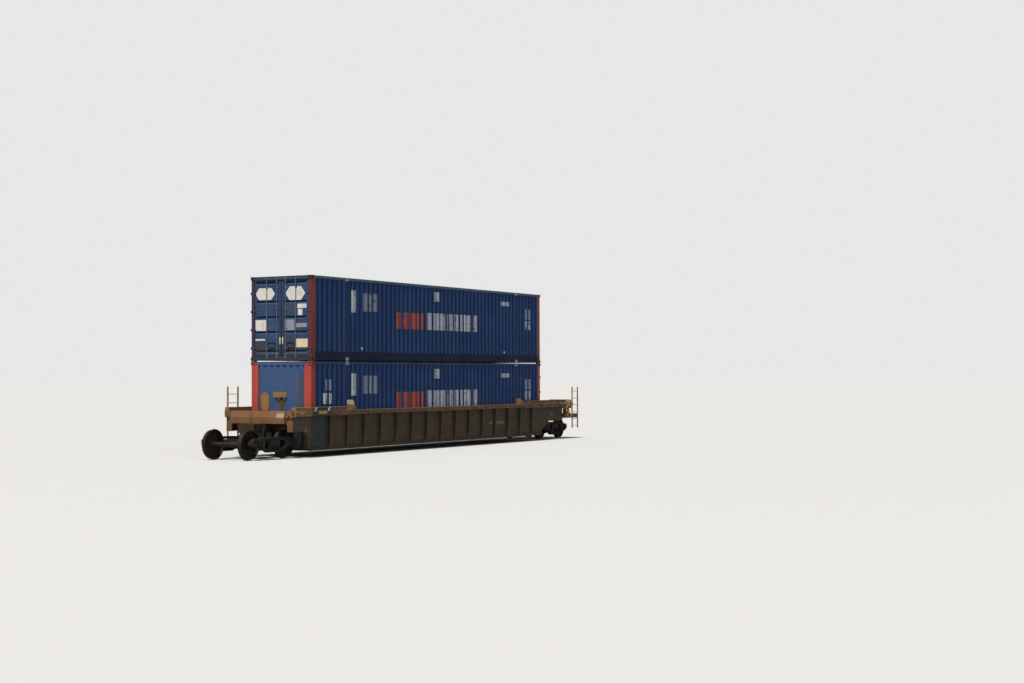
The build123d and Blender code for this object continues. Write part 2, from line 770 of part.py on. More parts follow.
ladders = [
    # first rail, last rail, side, face it stands on, foot, top
    (end_beam_x - 540.0, end_beam_x - 30.0, -1, stringer_y, 450.0, 2250.0),
    (sill_left_x + 165.0, sill_left_x + 705.0, 1, chord_outer_y, 530.0, 2400.0),
]
with BuildPart() as ladder_pair:
    for low_x, high_x, side, face_y, foot_z, head_z in ladders:
        for rail_x in (low_x, high_x):
            block((rail_x - ladder_rail / 2, rail_x + ladder_rail / 2),
                  span(side, face_y, face_y + ladder_stand_off), (foot_z, head_z))
        for index in range(rung_count):
            rung_z = foot_z + rung_foot + rung_pitch * index
            rung_y = side * (face_y + ladder_stand_off / 2)
            round_bar((low_x, rung_y, rung_z), (high_x, rung_y, rung_z), rung_radius)
save(ladder_pair.part, "ladders")

# Hand brake: gear box on the deck, and its wheel on the near side
brake_box_y = -stringer_y + stringer_width
with BuildPart() as hand_brake:
    block((brake_wheel_x - brake_box_width / 2, brake_wheel_x + brake_box_width / 2),
          (brake_box_y, brake_box_y + brake_box_depth), (deck_top_z, brake_wheel_z + 150))
    round_bar((brake_wheel_x, brake_box_y, brake_wheel_z),
              (brake_wheel_x, -stringer_y - 40, brake_wheel_z), 30)
    rim_plane = Plane(origin=(brake_wheel_x, -stringer_y - 10, brake_wheel_z),
                      x_dir=(1, 0, 0), z_dir=(0, -1, 0))
    with BuildSketch(rim_plane) as rim:
        Circle(brake_wheel_radius)
        Circle(brake_wheel_radius - brake_wheel_rim, mode=Mode.SUBTRACT)
        with PolarLocations(0, 4):
            with Locations((brake_wheel_radius / 2, 0)):
                Rectangle(brake_wheel_radius - brake_wheel_rim / 2, brake_wheel_rim)
    extrude(rim.sketch, amount=brake_wheel_rim)
save(hand_brake.part, "hand_brake")

# Air tank across the deck on two saddles, and the brake valve beside it
with BuildPart() as air_tank:
    tank_plane = Plane(origin=(tank_x, 0, tank_z), x_dir=(0, 1, 0), z_dir=(1, 0, 0))
    with BuildSketch(tank_plane) as tank_section:
        with BuildLine():
            Polyline((tank_near_y, tank_radius / 2), (tank_near_y, 0), (tank_far_y, 0),
                     (tank_far_y, tank_radius / 2))
            RadiusArc((tank_far_y, tank_radius / 2), (tank_far_y - tank_dome, tank_radius),
                      -tank_radius * 0.75)
            Line((tank_far_y - tank_dome, tank_radius), (tank_near_y + tank_dome, tank_radius))
            RadiusArc((tank_near_y + tank_dome, tank_radius), (tank_near_y, tank_radius / 2),
                      -tank_radius * 0.75)
        make_face()
    revolve(tank_section.sketch, axis=Axis((tank_x, 0, tank_z), (0, 1, 0)))
    for saddle_y in (tank_near_y + 250, tank_far_y - 250):
        block((tank_x - 140, tank_x + 140), (saddle_y - 25, saddle_y + 25), (deck_top_z, tank_z))
    block((tank_x - valve_length / 2, tank_x + valve_length / 2),
          (valve_y - valve_width / 2, valve_y + valve_width / 2),
          (deck_top_z, deck_top_z + valve_height))
save(air_tank.part, "air_tank")

# Handholds on the chords: first and last place along the car
handholds = [
    (sill_right_x - handhold_inset - handhold_length, sill_right_x - handhold_inset),
    (sill_left_x + handhold_inset, sill_left_x + handhold_inset + handhold_length),
]
with BuildPart() as grab_irons:
    for low_x, high_x in handholds:
        for side_name, side in sides:
            if side > 0 and low_x < 0:
                continue
            bar_y = side * (chord_outer_y + handhold_out)
            bar_z = (end_chord_top_z + end_chord_z) / 2
            round_bar((low_x, bar_y, bar_z), (high_x, bar_y, bar_z), rung_radius)
            for foot_x in (low_x + rung_radius, high_x - rung_radius):
                block((foot_x - rung_radius, foot_x + rung_radius),
                      span(side, chord_outer_y, chord_outer_y + handhold_out),
                      (bar_z - rung_radius, bar_z + rung_radius))
save(grab_irons.part, "grab_irons")

# Trucks
for name, centre_x, wheelbase, tread_radius in trucks:
    axle_z = tread_radius + flange_height
    half_base = wheelbase / 2
    outward = 1 if centre_x > 0 else -1
    tip = tread_radius + flange_height
    tread_y = wheel_back_y + wheel_width
    bearing_in_y = journal_y - bearing_length / 2
    bearing_out_y = journal_y + bearing_length / 2

    # One half of a wheelset, as distance from the middle and radius
    half_wheelset = [
        (0, 0), (0, axle_radius), (wheel_back_y - 20, axle_radius), (wheel_back_y - 20, 130),
        (wheel_back_y + 10, 130), (wheel_back_y + 45, tread_radius - 60),
        (wheel_back_y, tread_radius - 40), (wheel_back_y, tip - 12), (wheel_back_y + 12, tip),
        (wheel_back_y + 30, tread_radius + 6), (wheel_back_y + 42, tread_radius),
        (tread_y, tread_radius - 4), (tread_y, tread_radius - 40),
        (wheel_back_y + 70, tread_radius - 60), (wheel_back_y + 35, 135), (tread_y + 25, 120),
        (tread_y + 25, 90), (bearing_in_y, 90), (bearing_in_y, bearing_radius),
        (bearing_out_y, bearing_radius), (bearing_out_y, 80), (bearing_out_y + 30, 62),
        (bearing_out_y + 30, 0),
    ]
    for axle_name, direction in (("outer", outward), ("inner", -outward)):
        axle_x = centre_x + direction * half_base
        axle_plane = Plane(origin=(axle_x, 0, axle_z), x_dir=(0, 1, 0), z_dir=(1, 0, 0))
        with BuildPart() as wheelset:
            for side_name, side in sides:
                with BuildSketch(axle_plane) as section:
                    with BuildLine():
                        Polyline(*[(side * out, radius) for out, radius in half_wheelset],
                                 close=True)
                    make_face()
                revolve(section.sketch, axis=Axis((axle_x, 0, axle_z), (0, 1, 0)))
        save(wheelset.part, f"wheelset_{name}_{axle_name}")

    # Side frames with a jaw over each bearing and a window for the bolster and springs
    jaw = bearing_radius + bearing_gap
    frame_top_z = bowl_z + frame_rise
    half_outline = [
        (0, frame_top_z), (380, frame_top_z), (half_base - 40, axle_z + 205),
        (half_base + 60, axle_z + 205), (half_base + frame_tail, axle_z + 150),
        (half_base + frame_tail, axle_z - 20), (half_base + jaw, axle_z - 20),
        (half_base + jaw, axle_z + jaw), (half_base - jaw, axle_z + jaw),
        (half_base - jaw, axle_z - 20), (half_base - 190, axle_z - 60),
        (330, axle_z - frame_drop), (0, axle_z - frame_drop),
    ]
    outline = [(centre_x + x, z) for x, z in half_outline]
    outline += [(centre_x - x, z) for x, z in reversed(half_outline[1:-1])]
    side_window = [(300, axle_z - 190), (300, frame_top_z - 95), (half_base - 330, axle_z + 115),
                   (half_base - 330, axle_z - 45)]
    with BuildPart() as side_frames:
        for side_name, side in sides:
            low_y, high_y = span(side, frame_in_y, frame_out_y)
            profile_plate(side_plane(high_y), outline, frame_thickness)
            block((centre_x - window_half, centre_x + window_half), (low_y, high_y),
                  (axle_z - spring_seat_drop, bolster_top_z + 20), Mode.SUBTRACT)
            for direction in (-1, 1):
                window = [(centre_x + direction * x, z) for x, z in side_window]
                profile_plate(side_plane(high_y), window, frame_thickness, Mode.SUBTRACT)
    save(side_frames.part, f"side_frames_{name}")

    with BuildPart() as bolster:
        block((centre_x - bolster_width / 2, centre_x + bolster_width / 2),
              (-bolster_half, bolster_half), (bolster_low_z, bolster_top_z))
        disc(Plane(origin=(centre_x, 0, bolster_top_z), z_dir=(0, 0, 1)), bowl_radius, bowl_height)
        for side_name, side in sides:
            block((centre_x - 110, centre_x + 110),
                  (side * side_bearer_y - 60, side * side_bearer_y + 60),
                  (bolster_top_z, bowl_z))
    save(bolster.part, f"truck_bolster_{name}")

    with BuildPart() as springs:
        for side_name, side in sides:
            for step in (-1, 0, 1):
                spring_x = centre_x + step * spring_pitch
                round_bar((spring_x, side * journal_y, axle_z - spring_seat_drop),
                          (spring_x, side * journal_y, bolster_low_z), spring_radius)
    save(springs.part, f"springs_{name}")

    # Brake beams between the side frames, each with a shoe in front of both wheels
    beam_z = axle_z - beam_drop
    shoe_y = wheel_back_y + wheel_width / 2 + shoe_out
    shoe_reach = half_base - tread_radius + shoe_wrap - beam_x
    with BuildPart() as brake_beams:
        for direction in (-1, 1):
            beam_centre = centre_x + direction * beam_x
            block((beam_centre - beam_size / 2, beam_centre + beam_size / 2),
                  (-frame_in_y + running_gap, frame_in_y - running_gap),
                  (beam_z - beam_size / 2, beam_z + beam_size / 2))
            for side_name, side in sides:
                with BuildSketch(side_plane(side * shoe_y + shoe_width / 2)) as shoe:
                    with Locations((centre_x + direction * (beam_x + shoe_reach / 2), beam_z)):
                        Rectangle(shoe_reach, shoe_height)
                    with Locations((centre_x + direction * half_base, axle_z)):
                        Circle(tread_radius + shoe_gap, mode=Mode.SUBTRACT)
                extrude(shoe.sketch, amount=shoe_width)
    save(brake_beams.part, f"brake_beams_{name}")
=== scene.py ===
from math import cos, pi, radians, sin

import bpy
from mathutils import Matrix, Vector


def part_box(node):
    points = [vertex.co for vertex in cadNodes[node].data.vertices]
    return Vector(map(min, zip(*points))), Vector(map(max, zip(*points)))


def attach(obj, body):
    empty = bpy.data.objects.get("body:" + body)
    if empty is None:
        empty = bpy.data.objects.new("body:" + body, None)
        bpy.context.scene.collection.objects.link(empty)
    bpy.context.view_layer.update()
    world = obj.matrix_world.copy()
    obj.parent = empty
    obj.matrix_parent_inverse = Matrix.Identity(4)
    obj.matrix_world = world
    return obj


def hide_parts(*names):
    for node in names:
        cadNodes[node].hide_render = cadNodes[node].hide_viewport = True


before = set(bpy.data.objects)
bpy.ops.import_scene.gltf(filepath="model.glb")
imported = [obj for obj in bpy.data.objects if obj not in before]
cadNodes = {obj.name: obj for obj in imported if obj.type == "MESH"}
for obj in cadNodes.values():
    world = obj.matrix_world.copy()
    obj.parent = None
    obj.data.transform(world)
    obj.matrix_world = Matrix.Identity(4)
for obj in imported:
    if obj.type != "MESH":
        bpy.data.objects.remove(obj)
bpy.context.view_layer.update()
print("frame loaded")


# Modelling helpers, each one a step as it is done by hand

def deselectAll():
    if bpy.context.mode != "OBJECT":
        bpy.ops.object.mode_set(mode="OBJECT")
    bpy.ops.object.select_all(action="DESELECT")


def makeActive(piece):
    deselectAll()
    piece.select_set(True)
    bpy.context.view_layer.objects.active = piece


def applyPlace(piece):
    makeActive(piece)
    bpy.ops.object.transform_apply(location=True, rotation=True, scale=True)
    return piece


def applyAll(piece):
    makeActive(piece)
    for modifier in list(piece.modifiers):
        bpy.ops.object.modifier_apply(modifier=modifier.name)


def placeObject(name, data):
    piece = bpy.data.objects.new(name, data)
    bpy.context.scene.collection.objects.link(piece)
    return piece


def span(middle, half):
    # The range that reaches the same way to both sides of a middle
    return middle - half, middle + half


def bevelEdges(piece, width, segments=2):
    bevel = piece.modifiers.new("edges", "BEVEL")
    bevel.width = width
    bevel.segments = segments
    bevel.limit_method = "ANGLE"
    bevel.angle_limit = radians(35)
    applyAll(piece)
    bpy.ops.object.shade_smooth_by_angle(angle=radians(40))
    return piece


def addBlock(xs, ys, zs, bevel=0.004):
    # A bevelled block over a range of X, Y and Z
    deselectAll()
    middle = [(first + last) / 2 for first, last in (xs, ys, zs)]
    size = [abs(last - first) for first, last in (xs, ys, zs)]
    bpy.ops.mesh.primitive_cube_add(size=1, location=middle, scale=size)
    piece = applyPlace(bpy.context.active_object)
    return bevelEdges(piece, min(bevel, min(size) * 0.3))


def addCylinder(middle, axis, radius, depth, sides):
    deselectAll()
    bpy.ops.mesh.primitive_cylinder_add(vertices=sides, radius=radius, depth=depth)
    piece = bpy.context.active_object
    piece.rotation_mode = "QUATERNION"
    piece.rotation_quaternion = axis.to_track_quat("Z", "Y")
    piece.location = middle
    return applyPlace(piece)


def addRod(start, end, radius, sides=12):
    # A round bar between two points
    start, end = Vector(start), Vector(end)
    path = end - start
    piece = addCylinder((start + end) / 2, path, radius, path.length, sides)
    bpy.ops.object.shade_smooth_by_angle(angle=radians(50))
    return piece


def joinPieces(parts):
    deselectAll()
    for part in parts:
        part.select_set(True)
    bpy.context.view_layer.objects.active = parts[0]
    if len(parts) > 1:
        bpy.ops.object.join()
    return parts[0]


def addBolts(places, axis, radius=0.014, height=0.012):
    # The same hexagon head on a washer at many places, its foot on the place
    axis = Vector(axis)
    parts = []
    for sides, size, low, high in ((16, radius * 1.35, 0, height * 0.3),
                                   (6, radius, height * 0.2, height)):
        middle = axis.normalized() * (low + high) / 2
        parts.append(addCylinder(middle, axis, size, high - low, sides))
    first = joinPieces(parts)
    bolts = [copyPiece(first, place) for place in places]
    bpy.data.objects.remove(first)
    return bolts


def copyPiece(piece, move):
    # A moved copy with its own mesh
    twin = piece.copy()
    twin.data = piece.data.copy()
    bpy.context.scene.collection.objects.link(twin)
    twin.data.transform(Matrix.Translation(move))
    return twin


def bentRod(points, radius, fineness=4):
    # A bar bent through the points
    curve = bpy.data.curves.new("bentRod", "CURVE")
    curve.dimensions = "3D"
    curve.bevel_depth = radius
    curve.bevel_resolution = fineness
    curve.use_fill_caps = True
    spline = curve.splines.new("POLY")
    spline.points.add(len(points) - 1)
    for point, place in zip(spline.points, points):
        point.co = (*place, 1)
    makeActive(placeObject("bentRod", curve))
    bpy.ops.object.convert(target="MESH")
    bpy.ops.object.shade_smooth_by_angle(angle=radians(60))
    return bpy.context.active_object


def addPlate(outline, axis, face, thickness):
    # A thin flat plate: outline in the other two axes, its back on the face
    corners = []
    for place in outline:
        corner = list(place)
        corner.insert(axis, face)
        corners.append(corner)
    mesh = bpy.data.meshes.new("plate")
    mesh.from_pydata(corners, [], [list(range(len(corners)))])
    piece = placeObject("plate", mesh)
    makeActive(piece)
    bpy.ops.object.mode_set(mode="EDIT")
    bpy.ops.mesh.select_all(action="SELECT")
    move = [0, 0, 0]
    move[axis] = thickness
    bpy.ops.mesh.extrude_region_move(TRANSFORM_OT_translate={"value": move})
    bpy.ops.mesh.select_all(action="SELECT")
    bpy.ops.mesh.normals_make_consistent(inside=False)
    bpy.ops.object.mode_set(mode="OBJECT")
    return bevelEdges(piece, abs(thickness) * 0.25, 1)


def rectangle(us, vs):
    # Outline over two ranges, for addPlate
    return [(us[0], vs[0]), (us[1], vs[0]), (us[1], vs[1]), (us[0], vs[1])]


def finishPiece(parts, name, material, body="car"):
    # Joins the parts into one named piece that moves with its body
    piece = joinPieces(parts)
    piece.name = name
    piece.data.name = name
    piece.data.materials.clear()
    piece.data.materials.append(material)
    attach(piece, body)
    return piece


# Material helpers

def startMaterial(materialName):
    material = bpy.data.materials.new(materialName)
    material.use_nodes = True
    return material, material.node_tree


def objectPlace(tree, scale=(1, 1, 1)):
    coordinates = tree.nodes.new("ShaderNodeTexCoord")
    mapping = tree.nodes.new("ShaderNodeMapping")
    mapping.inputs["Scale"].default_value = scale
    tree.links.new(coordinates.outputs["Object"], mapping.inputs["Vector"])
    return mapping.outputs["Vector"]


def noiseOn(tree, scale, stretch=(1, 1, 1), detail=6, roughness=0.6):
    noise = tree.nodes.new("ShaderNodeTexNoise")
    for name, amount in (("Scale", scale), ("Detail", detail), ("Roughness", roughness)):
        noise.inputs[name].default_value = amount
    tree.links.new(objectPlace(tree, stretch), noise.inputs["Vector"])
    return noise.outputs["Fac"]


def between(tree, value, low, high, start=0.0, end=1.0):
    # Value rises from start at low to end at high
    step = tree.nodes.new("ShaderNodeMapRange")
    step.interpolation_type = "SMOOTHSTEP"
    for name, amount in (("From Min", low), ("From Max", high), ("To Min", start),
                         ("To Max", end)):
        step.inputs[name].default_value = amount
    tree.links.new(value, step.inputs["Value"])
    return step.outputs["Result"]


def feedSocket(tree, socket, value):
    if isinstance(value, (int, float)):
        socket.default_value = value
    elif isinstance(value, tuple):
        socket.default_value = (*value, 1)
    else:
        tree.links.new(value, socket)


def mathOf(tree, operation, *values):
    node = tree.nodes.new("ShaderNodeMath")
    node.operation = operation
    for socket, value in zip(node.inputs, values):
        feedSocket(tree, socket, value)
    return node.outputs["Value"]


def times(tree, product, *factors):
    for factor in factors:
        product = mathOf(tree, "MULTIPLY", product, factor)
    return product


def mixOf(tree, factor, first, second):
    node = tree.nodes.new("ShaderNodeMix")
    node.data_type = "RGBA"
    for socket, value in zip((node.inputs[0], node.inputs[6], node.inputs[7]),
                             (factor, first, second)):
        feedSocket(tree, socket, value)
    return node.outputs[2]


def axisValue(tree, axis):
    split = tree.nodes.new("ShaderNodeSeparateXYZ")
    tree.links.new(objectPlace(tree), split.inputs["Vector"])
    return split.outputs[axis]


def outwardMask(tree):
    # One on faces that look away from the middle of the train
    coordinates = tree.nodes.new("ShaderNodeTexCoord")
    split = tree.nodes.new("ShaderNodeSeparateXYZ")
    tree.links.new(coordinates.outputs["Normal"], split.inputs["Vector"])
    return mathOf(tree, "GREATER_THAN", times(tree, split.outputs["Y"], axisValue(tree, "Y")), 0.0)


def paintAreas(tree, paint, areas, cover=1.0):
    # Colours laid on inside ranges of X, Y and Z; no range means everywhere
    places = [axisValue(tree, axis) for axis in "XYZ"] if areas else []
    for ranges, shade, amount in areas:
        mask = cover
        for place, limits in zip(places, ranges):
            if limits:
                first, last = limits
                mask = times(tree, mask, mathOf(tree, "COMPARE", place, (first + last) / 2,
                                                abs(last - first) / 2))
        paint = mixOf(tree, times(tree, mask, amount), paint, shade)
    return paint


def swellAndGrain(tree, swell, detail, grain, share):
    return mathOf(tree, "ADD", noiseOn(tree, swell, detail=detail),
                  times(tree, noiseOn(tree, grain), share))


def dressSurface(tree, colour, shineScale, shine, height, strength, distance):
    # Links colour, uneven roughness and bumps to the shader
    shader = tree.nodes["Principled BSDF"]
    rough = between(tree, noiseOn(tree, shineScale), 0.3, 0.7, *shine)
    bump = tree.nodes.new("ShaderNodeBump")
    bump.inputs["Strength"].default_value = strength
    bump.inputs["Distance"].default_value = distance
    tree.links.new(height, bump.inputs["Height"])
    for name, value in (("Base Color", colour), ("Roughness", rough),
                        ("Normal", bump.outputs["Normal"])):
        tree.links.new(value, shader.inputs[name])
    return shader


# rust colour, painted shade for the corrugation valleys, inside paint, wall depths and shine
weather = {"rust": (0.16, 0.055, 0.022), "valley": (0.008, 0.014, 0.034),
           "insideGrey": (0.30, 0.31, 0.31), "wallDepth": (1.258, 1.284), "specular": 0.14}


def weatheredPaint(materialName, colour, faded, dust=(0.17, 0.14, 0.11), dustBand=None,
                   dustAmount=0.5, rustAmount=0.25, streaks=0.35, shine=(0.38, 0.62), marks=(),
                   areas=(), wall=False):
    # Painted steel that has stood outside: fading, streaks down the wall, dust and rust
    material, tree = startMaterial(materialName)
    paint = mixOf(tree, between(tree, noiseOn(tree, 0.7), 0.35, 0.7), colour, faded)
    # On walls, painted shade: darker navy in the corrugation valleys, fading out towards the crests
    if wall:
        depth = mathOf(tree, "ABSOLUTE", axisValue(tree, "Y"))
        paint = mixOf(tree, between(tree, depth, *weather["wallDepth"], 0.62, 0.0), paint,
                      weather["valley"])
    if marks:
        flakes = times(tree, between(tree, noiseOn(tree, 14, (1, 1, 0.4)), 0.36, 0.44),
                       between(tree, noiseOn(tree, 4.2, (1, 0, 0), 1), 0.45, 0.47),
                       outwardMask(tree))
        paint = paintAreas(tree, paint, marks, flakes)
    paint = paintAreas(tree, paint, areas)
    runs = between(tree, noiseOn(tree, 1.0, (5.5, 5.5, 0.22), 4), 0.5, 0.78)
    paint = mixOf(tree, times(tree, runs, streaks), paint, tuple(c * 0.45 for c in colour))
    paleRuns = between(tree, noiseOn(tree, 1.7, (4.1, 4.1, 0.3), 3), 0.6, 0.8)
    paint = mixOf(tree, times(tree, paleRuns, streaks * 0.5), paint, dust)
    if dustBand:
        low, top = dustBand
        high = axisValue(tree, "Z")
        cover = between(tree, noiseOn(tree, 2.4), 0.3, 0.75, 0.25, 1.0)
        band = times(tree, between(tree, high, low, top, dustAmount, 0.0),
                     mathOf(tree, "GREATER_THAN", high, low - 0.4), cover)
        paint = mixOf(tree, band, paint, dust)
    if wall:
        paint = mixOf(tree, outwardMask(tree), weather["insideGrey"], paint)
    rust = times(tree, between(tree, noiseOn(tree, 11, (1, 1, 0.7), 8, 0.7), 0.60, 0.68),
                 between(tree, noiseOn(tree, 1.3), 0.5, 0.62), rustAmount)
    paint = mixOf(tree, rust, paint, weather["rust"])
    shader = dressSurface(tree, paint, 3.1, shine, swellAndGrain(tree, 1.1, 2, 90, 0.05), 0.25,
                          0.012)
    shader.inputs["Specular IOR Level"].default_value = weather["specular"]
    return material


def grimyMetal(materialName, dark, light, rusty, shine=(0.55, 0.85), metallic=0.0, wear=0.5,
               areas=()):
    # Bare or cast steel under grease, brake dust and rust
    material, tree = startMaterial(materialName)
    metal = mixOf(tree, between(tree, noiseOn(tree, 4.0), 0.35, 0.68), dark, light)
    rust = between(tree, noiseOn(tree, 7.5, detail=9, roughness=0.7), 0.48, 0.66, 0.0, wear)
    metal = paintAreas(tree, mixOf(tree, rust, metal, rusty), areas)
    shader = dressSurface(tree, metal, 12, shine, noiseOn(tree, 55, detail=8), 0.35, 0.004)
    shader.inputs["Metallic"].default_value = metallic
    shader.inputs["Specular IOR Level"].default_value = 0.3
    return material


def plainSheet(materialName, colour, soiled):
    # Printed foil or enamel plate, left blank, a little soiled
    material, tree = startMaterial(materialName)
    dirt = between(tree, noiseOn(tree, 6.0, (1, 1, 0.35)), 0.45, 0.75, 0.0, 0.7)
    dressSurface(tree, mixOf(tree, dirt, colour, soiled), 9, (0.4, 0.6), noiseOn(tree, 60), 0.1,
                 0.001)
    return material


sill = {
    "ochre": (0.35, 0.165, 0.052),
    "fadedOchre": (0.39, 0.205, 0.075),
    "grime": (0.029, 0.023, 0.014),
    "oldGrime": (0.056, 0.043, 0.027),
    "chordGrime": (0.046, 0.030, 0.015),
    "rust": (0.055, 0.026, 0.012),
    "cleanAbove": 1.40,
    "cleanEnd": (-8.6, -7.3),
    # painted shade for the low parts at the left end
    "shade": (0.004, 0.0038, 0.0035),
    "panelBlack": (0.021, 0.024, 0.026),
    # pale ochre for painted highlights along top edges
    "edge": (0.44, 0.34, 0.22),
}
sillAreas = [
    # range of X, Y and Z, colour, amount
    # painted shade: near black on the lower bulkhead at the left end, between the webs
    (((-9.30, -8.05), (-1.325, 1.325), (0.20, 1.10)), sill["shade"], 0.97),
    (((-9.25, -8.15), (-1.60, -1.33), (0.80, 1.385)), (0.066, 0.052, 0.032), 0.60),
    (((-8.28, -7.15), (-1.60, -1.40), (1.30, 1.80)), sill["panelBlack"], 0.93),
    (((-8.16, -7.05), (-1.40, -1.33), (0.30, 1.40)), sill["panelBlack"], 0.93),
    # painted highlights: pale lines on the top edges of the end boxes and along the near chord's top
    (((-9.25, -6.30), (-1.52, -1.475), (1.690, 1.72)), sill["edge"], 0.7),
    (((-9.25, -6.30), (1.475, 1.52), (1.690, 1.72)), sill["edge"], 0.7),
    (((-10.0, 10.0), (-1.52, -1.31), (1.560, 1.58)), (0.26, 0.17, 0.09), 0.6),
]


def sillPaint():
    # Faded ochre under brown grime: cleaner at the left end, oily on the web below the chord
    material, tree = startMaterial("carOchrePaint")
    paint = mixOf(tree, between(tree, noiseOn(tree, 1.2), 0.35, 0.7), sill["ochre"],
                  sill["fadedOchre"])
    runs = between(tree, noiseOn(tree, 1.0, (6, 6, 0.5), 5), 0.42, 0.7)
    soil = mixOf(tree, runs, sill["grime"], sill["oldGrime"])
    blotch = between(tree, noiseOn(tree, 2.2, (1, 1, 0.6)), 0.3, 0.62, 0.62, 1.0)
    below = between(tree, axisValue(tree, "Z"), sill["cleanAbove"] - 0.03,
                    sill["cleanAbove"] + 0.02, 0.96, 0.0)
    paint = mixOf(tree, times(tree, below, blotch), paint, soil)
    chord = between(tree, axisValue(tree, "X"), *sill["cleanEnd"], 0.62, 0.97)
    smear = between(tree, noiseOn(tree, 3.3, (0.6, 1, 2.2), 7), 0.35, 0.65, 0.75, 1.0)
    paint = mixOf(tree, times(tree, chord, smear), paint, sill["chordGrime"])
    # The areas hold painted shade low at the left end and painted highlights on the top edges
    paint = paintAreas(tree, paint, sillAreas)
    rust = between(tree, noiseOn(tree, 9, detail=9, roughness=0.72), 0.58, 0.68, 0.0, 0.6)
    dressSurface(tree, mixOf(tree, rust, paint, sill["rust"]), 5, (0.5, 0.8),
                 swellAndGrain(tree, 1.4, 3, 70, 0.08), 0.3, 0.01)
    return material


# Materials
blueBox = {
    "blue": (0.013, 0.044, 0.150),
    "fadedBlue": (0.021, 0.060, 0.180),
    "teal": (0.055, 0.105, 0.150),
    "white": (0.56, 0.58, 0.62),
    "signRed": (0.46, 0.088, 0.030),
    "castingGrey": (0.30, 0.31, 0.31),
    "dirtyCasting": (0.035, 0.040, 0.042),
    "grooveShade": (0.008, 0.012, 0.026),
    "plum": (0.072, 0.030, 0.042),
    "litRed": (0.40, 0.095, 0.065),
    "farPost": (0.024, 0.026, 0.065),
    "bases": {"upper": 3.279, "lower": 0.355},
    "doorEnds": {"upper": -1, "lower": 1},
    "height": 2.896,
    "casting": 0.118,
    "nearWall": (-1.30, -1.25),
}
upperBase, lowerBase = blueBox["bases"]["upper"], blueBox["bases"]["lower"]
blue, faded, white = blueBox["blue"], blueBox["fadedBlue"], blueBox["white"]


def wallMarks(base):
    # Broken bars in the colours of the lettering, which is left off
    places = [
        # range of X, range of heights above the base, colour, amount
        ((-5.70, -5.42), (1.70, 2.48), white, 0.80),
        ((-5.26, -4.08), (1.76, 2.40), white, 0.30),
        ((-2.99, -0.97), (1.20, 1.80), blueBox["signRed"], 0.75),
        ((-0.83, 2.92), (1.20, 1.84), white, 0.62),
        ((-0.31, 0.15), (2.29, 2.65), white, 0.70),
        ((4.75, 5.57), (2.31, 2.48), white, 0.60),
        ((6.79, 7.21), (1.80, 2.23), white, 0.45),
        ((6.74, 7.21), (1.38, 1.75), white, 0.70),
    ]
    return [((x, None, (base + low, base + high)), shade, amount)
            for x, (low, high), shade, amount in places]


def castingRanges(base):
    # Heights of the bottom and top castings
    return [(low - 0.001, low + blueBox["casting"] + 0.001)
            for low in (base, base + blueBox["height"] - blueBox["casting"])]


def padAreas(base):
    # Light grey casting plates of the posts at the 40 ft places
    return [((None, sideY, heights), blueBox["castingGrey"], 0.9)
            for heights in castingRanges(base) for sideY in ((-1.30, -1.2902), (1.2902, 1.30))]


def grooveShadeAreas(base, doorEnd):
    # Painted shade in the recesses of the door grooves
    return [(((doorEnd * 7.99, doorEnd * 8.0302), None, (base + z - 0.017, base + z + 0.056)),
             blueBox["grooveShade"], 0.75) for z in (0.311, 0.961, 1.471, 2.006, 2.661)]


def postAreas(base, doorEnd):
    # Grimy castings, brown feet, and dark plum paint on the posts' faces beside the doors
    faceX = (doorEnd * 8.0565, doorEnd * 8.10)
    # Painted light: a brighter red on the near half of the posts at the +X end
    areas = [(((7.80, 8.10), (-1.30, 0.0), None), blueBox["litRed"], 0.8),
             ((faceX, (-1.30, 0.0), None), blueBox["plum"], 0.92),
             ((faceX, (0.0, 1.30), None), blueBox["farPost"], 0.92)]
    for heights in castingRanges(base):
        for end in (-1, 1):
            amount = 0.85 if end == doorEnd else 0.30
            areas.append((((end * 7.897, end * 8.10), None, heights), blueBox["dirtyCasting"],
                          amount))
    return areas


upperSpots = [
    # range of X and Z, colour, amount
    ((-5.12, -5.03), (3.68, 3.75), white, 0.8),
    ((-5.12, -5.00), (3.61, 3.67), (0.045, 0.10, 0.06), 0.8),
    ((4.98, 5.07), (3.66, 3.73), white, 0.8),
    ((7.00, 7.12), (3.79, 3.95), (0.16, 0.14, 0.04), 0.7),
]
upperWallPaint = weatheredPaint(
    "upperWallPaint", blue, faded, dust=(0.05, 0.06, 0.085),
    dustBand=(upperBase + 0.3, upperBase + 0.9), dustAmount=0.15, marks=wallMarks(upperBase),
    wall=True, areas=[((xs, blueBox["nearWall"], zs), shade, amount)
                      for xs, zs, shade, amount in upperSpots])
lowerWallPaint = weatheredPaint(
    "lowerWallPaint", blue, faded, dust=(0.05, 0.055, 0.07), dustBand=(0.4, 2.2),
    dustAmount=0.3, wall=True,
    marks=wallMarks(lowerBase) + [(((-7.27, -6.86), None, (2.25, 2.63)), white, 0.4),
                                  (((-7.36, -6.84), None, (1.79, 2.16)), white, 0.8)])
endStains = [
    # range of Y and Z, colour, amount
    (None, (3.20, 3.44), (0.024, 0.023, 0.023), 0.85),
    (None, (6.045, 6.20), (0.034, 0.050, 0.072), 0.6),
    ((-0.60, -0.11), (4.82, 5.21), (0.050, 0.060, 0.085), 0.55),
    ((-0.60, -0.11), (4.33, 4.67), (0.052, 0.056, 0.070), 0.60),
    ((-1.12, -0.64), (4.33, 4.67), (0.050, 0.045, 0.052), 0.60),
    ((0.64, 1.10), (3.66, 3.96), (0.040, 0.042, 0.046), 0.75),
    ((-0.60, -0.11), (3.66, 4.10), (0.040, 0.044, 0.054), 0.60),
]
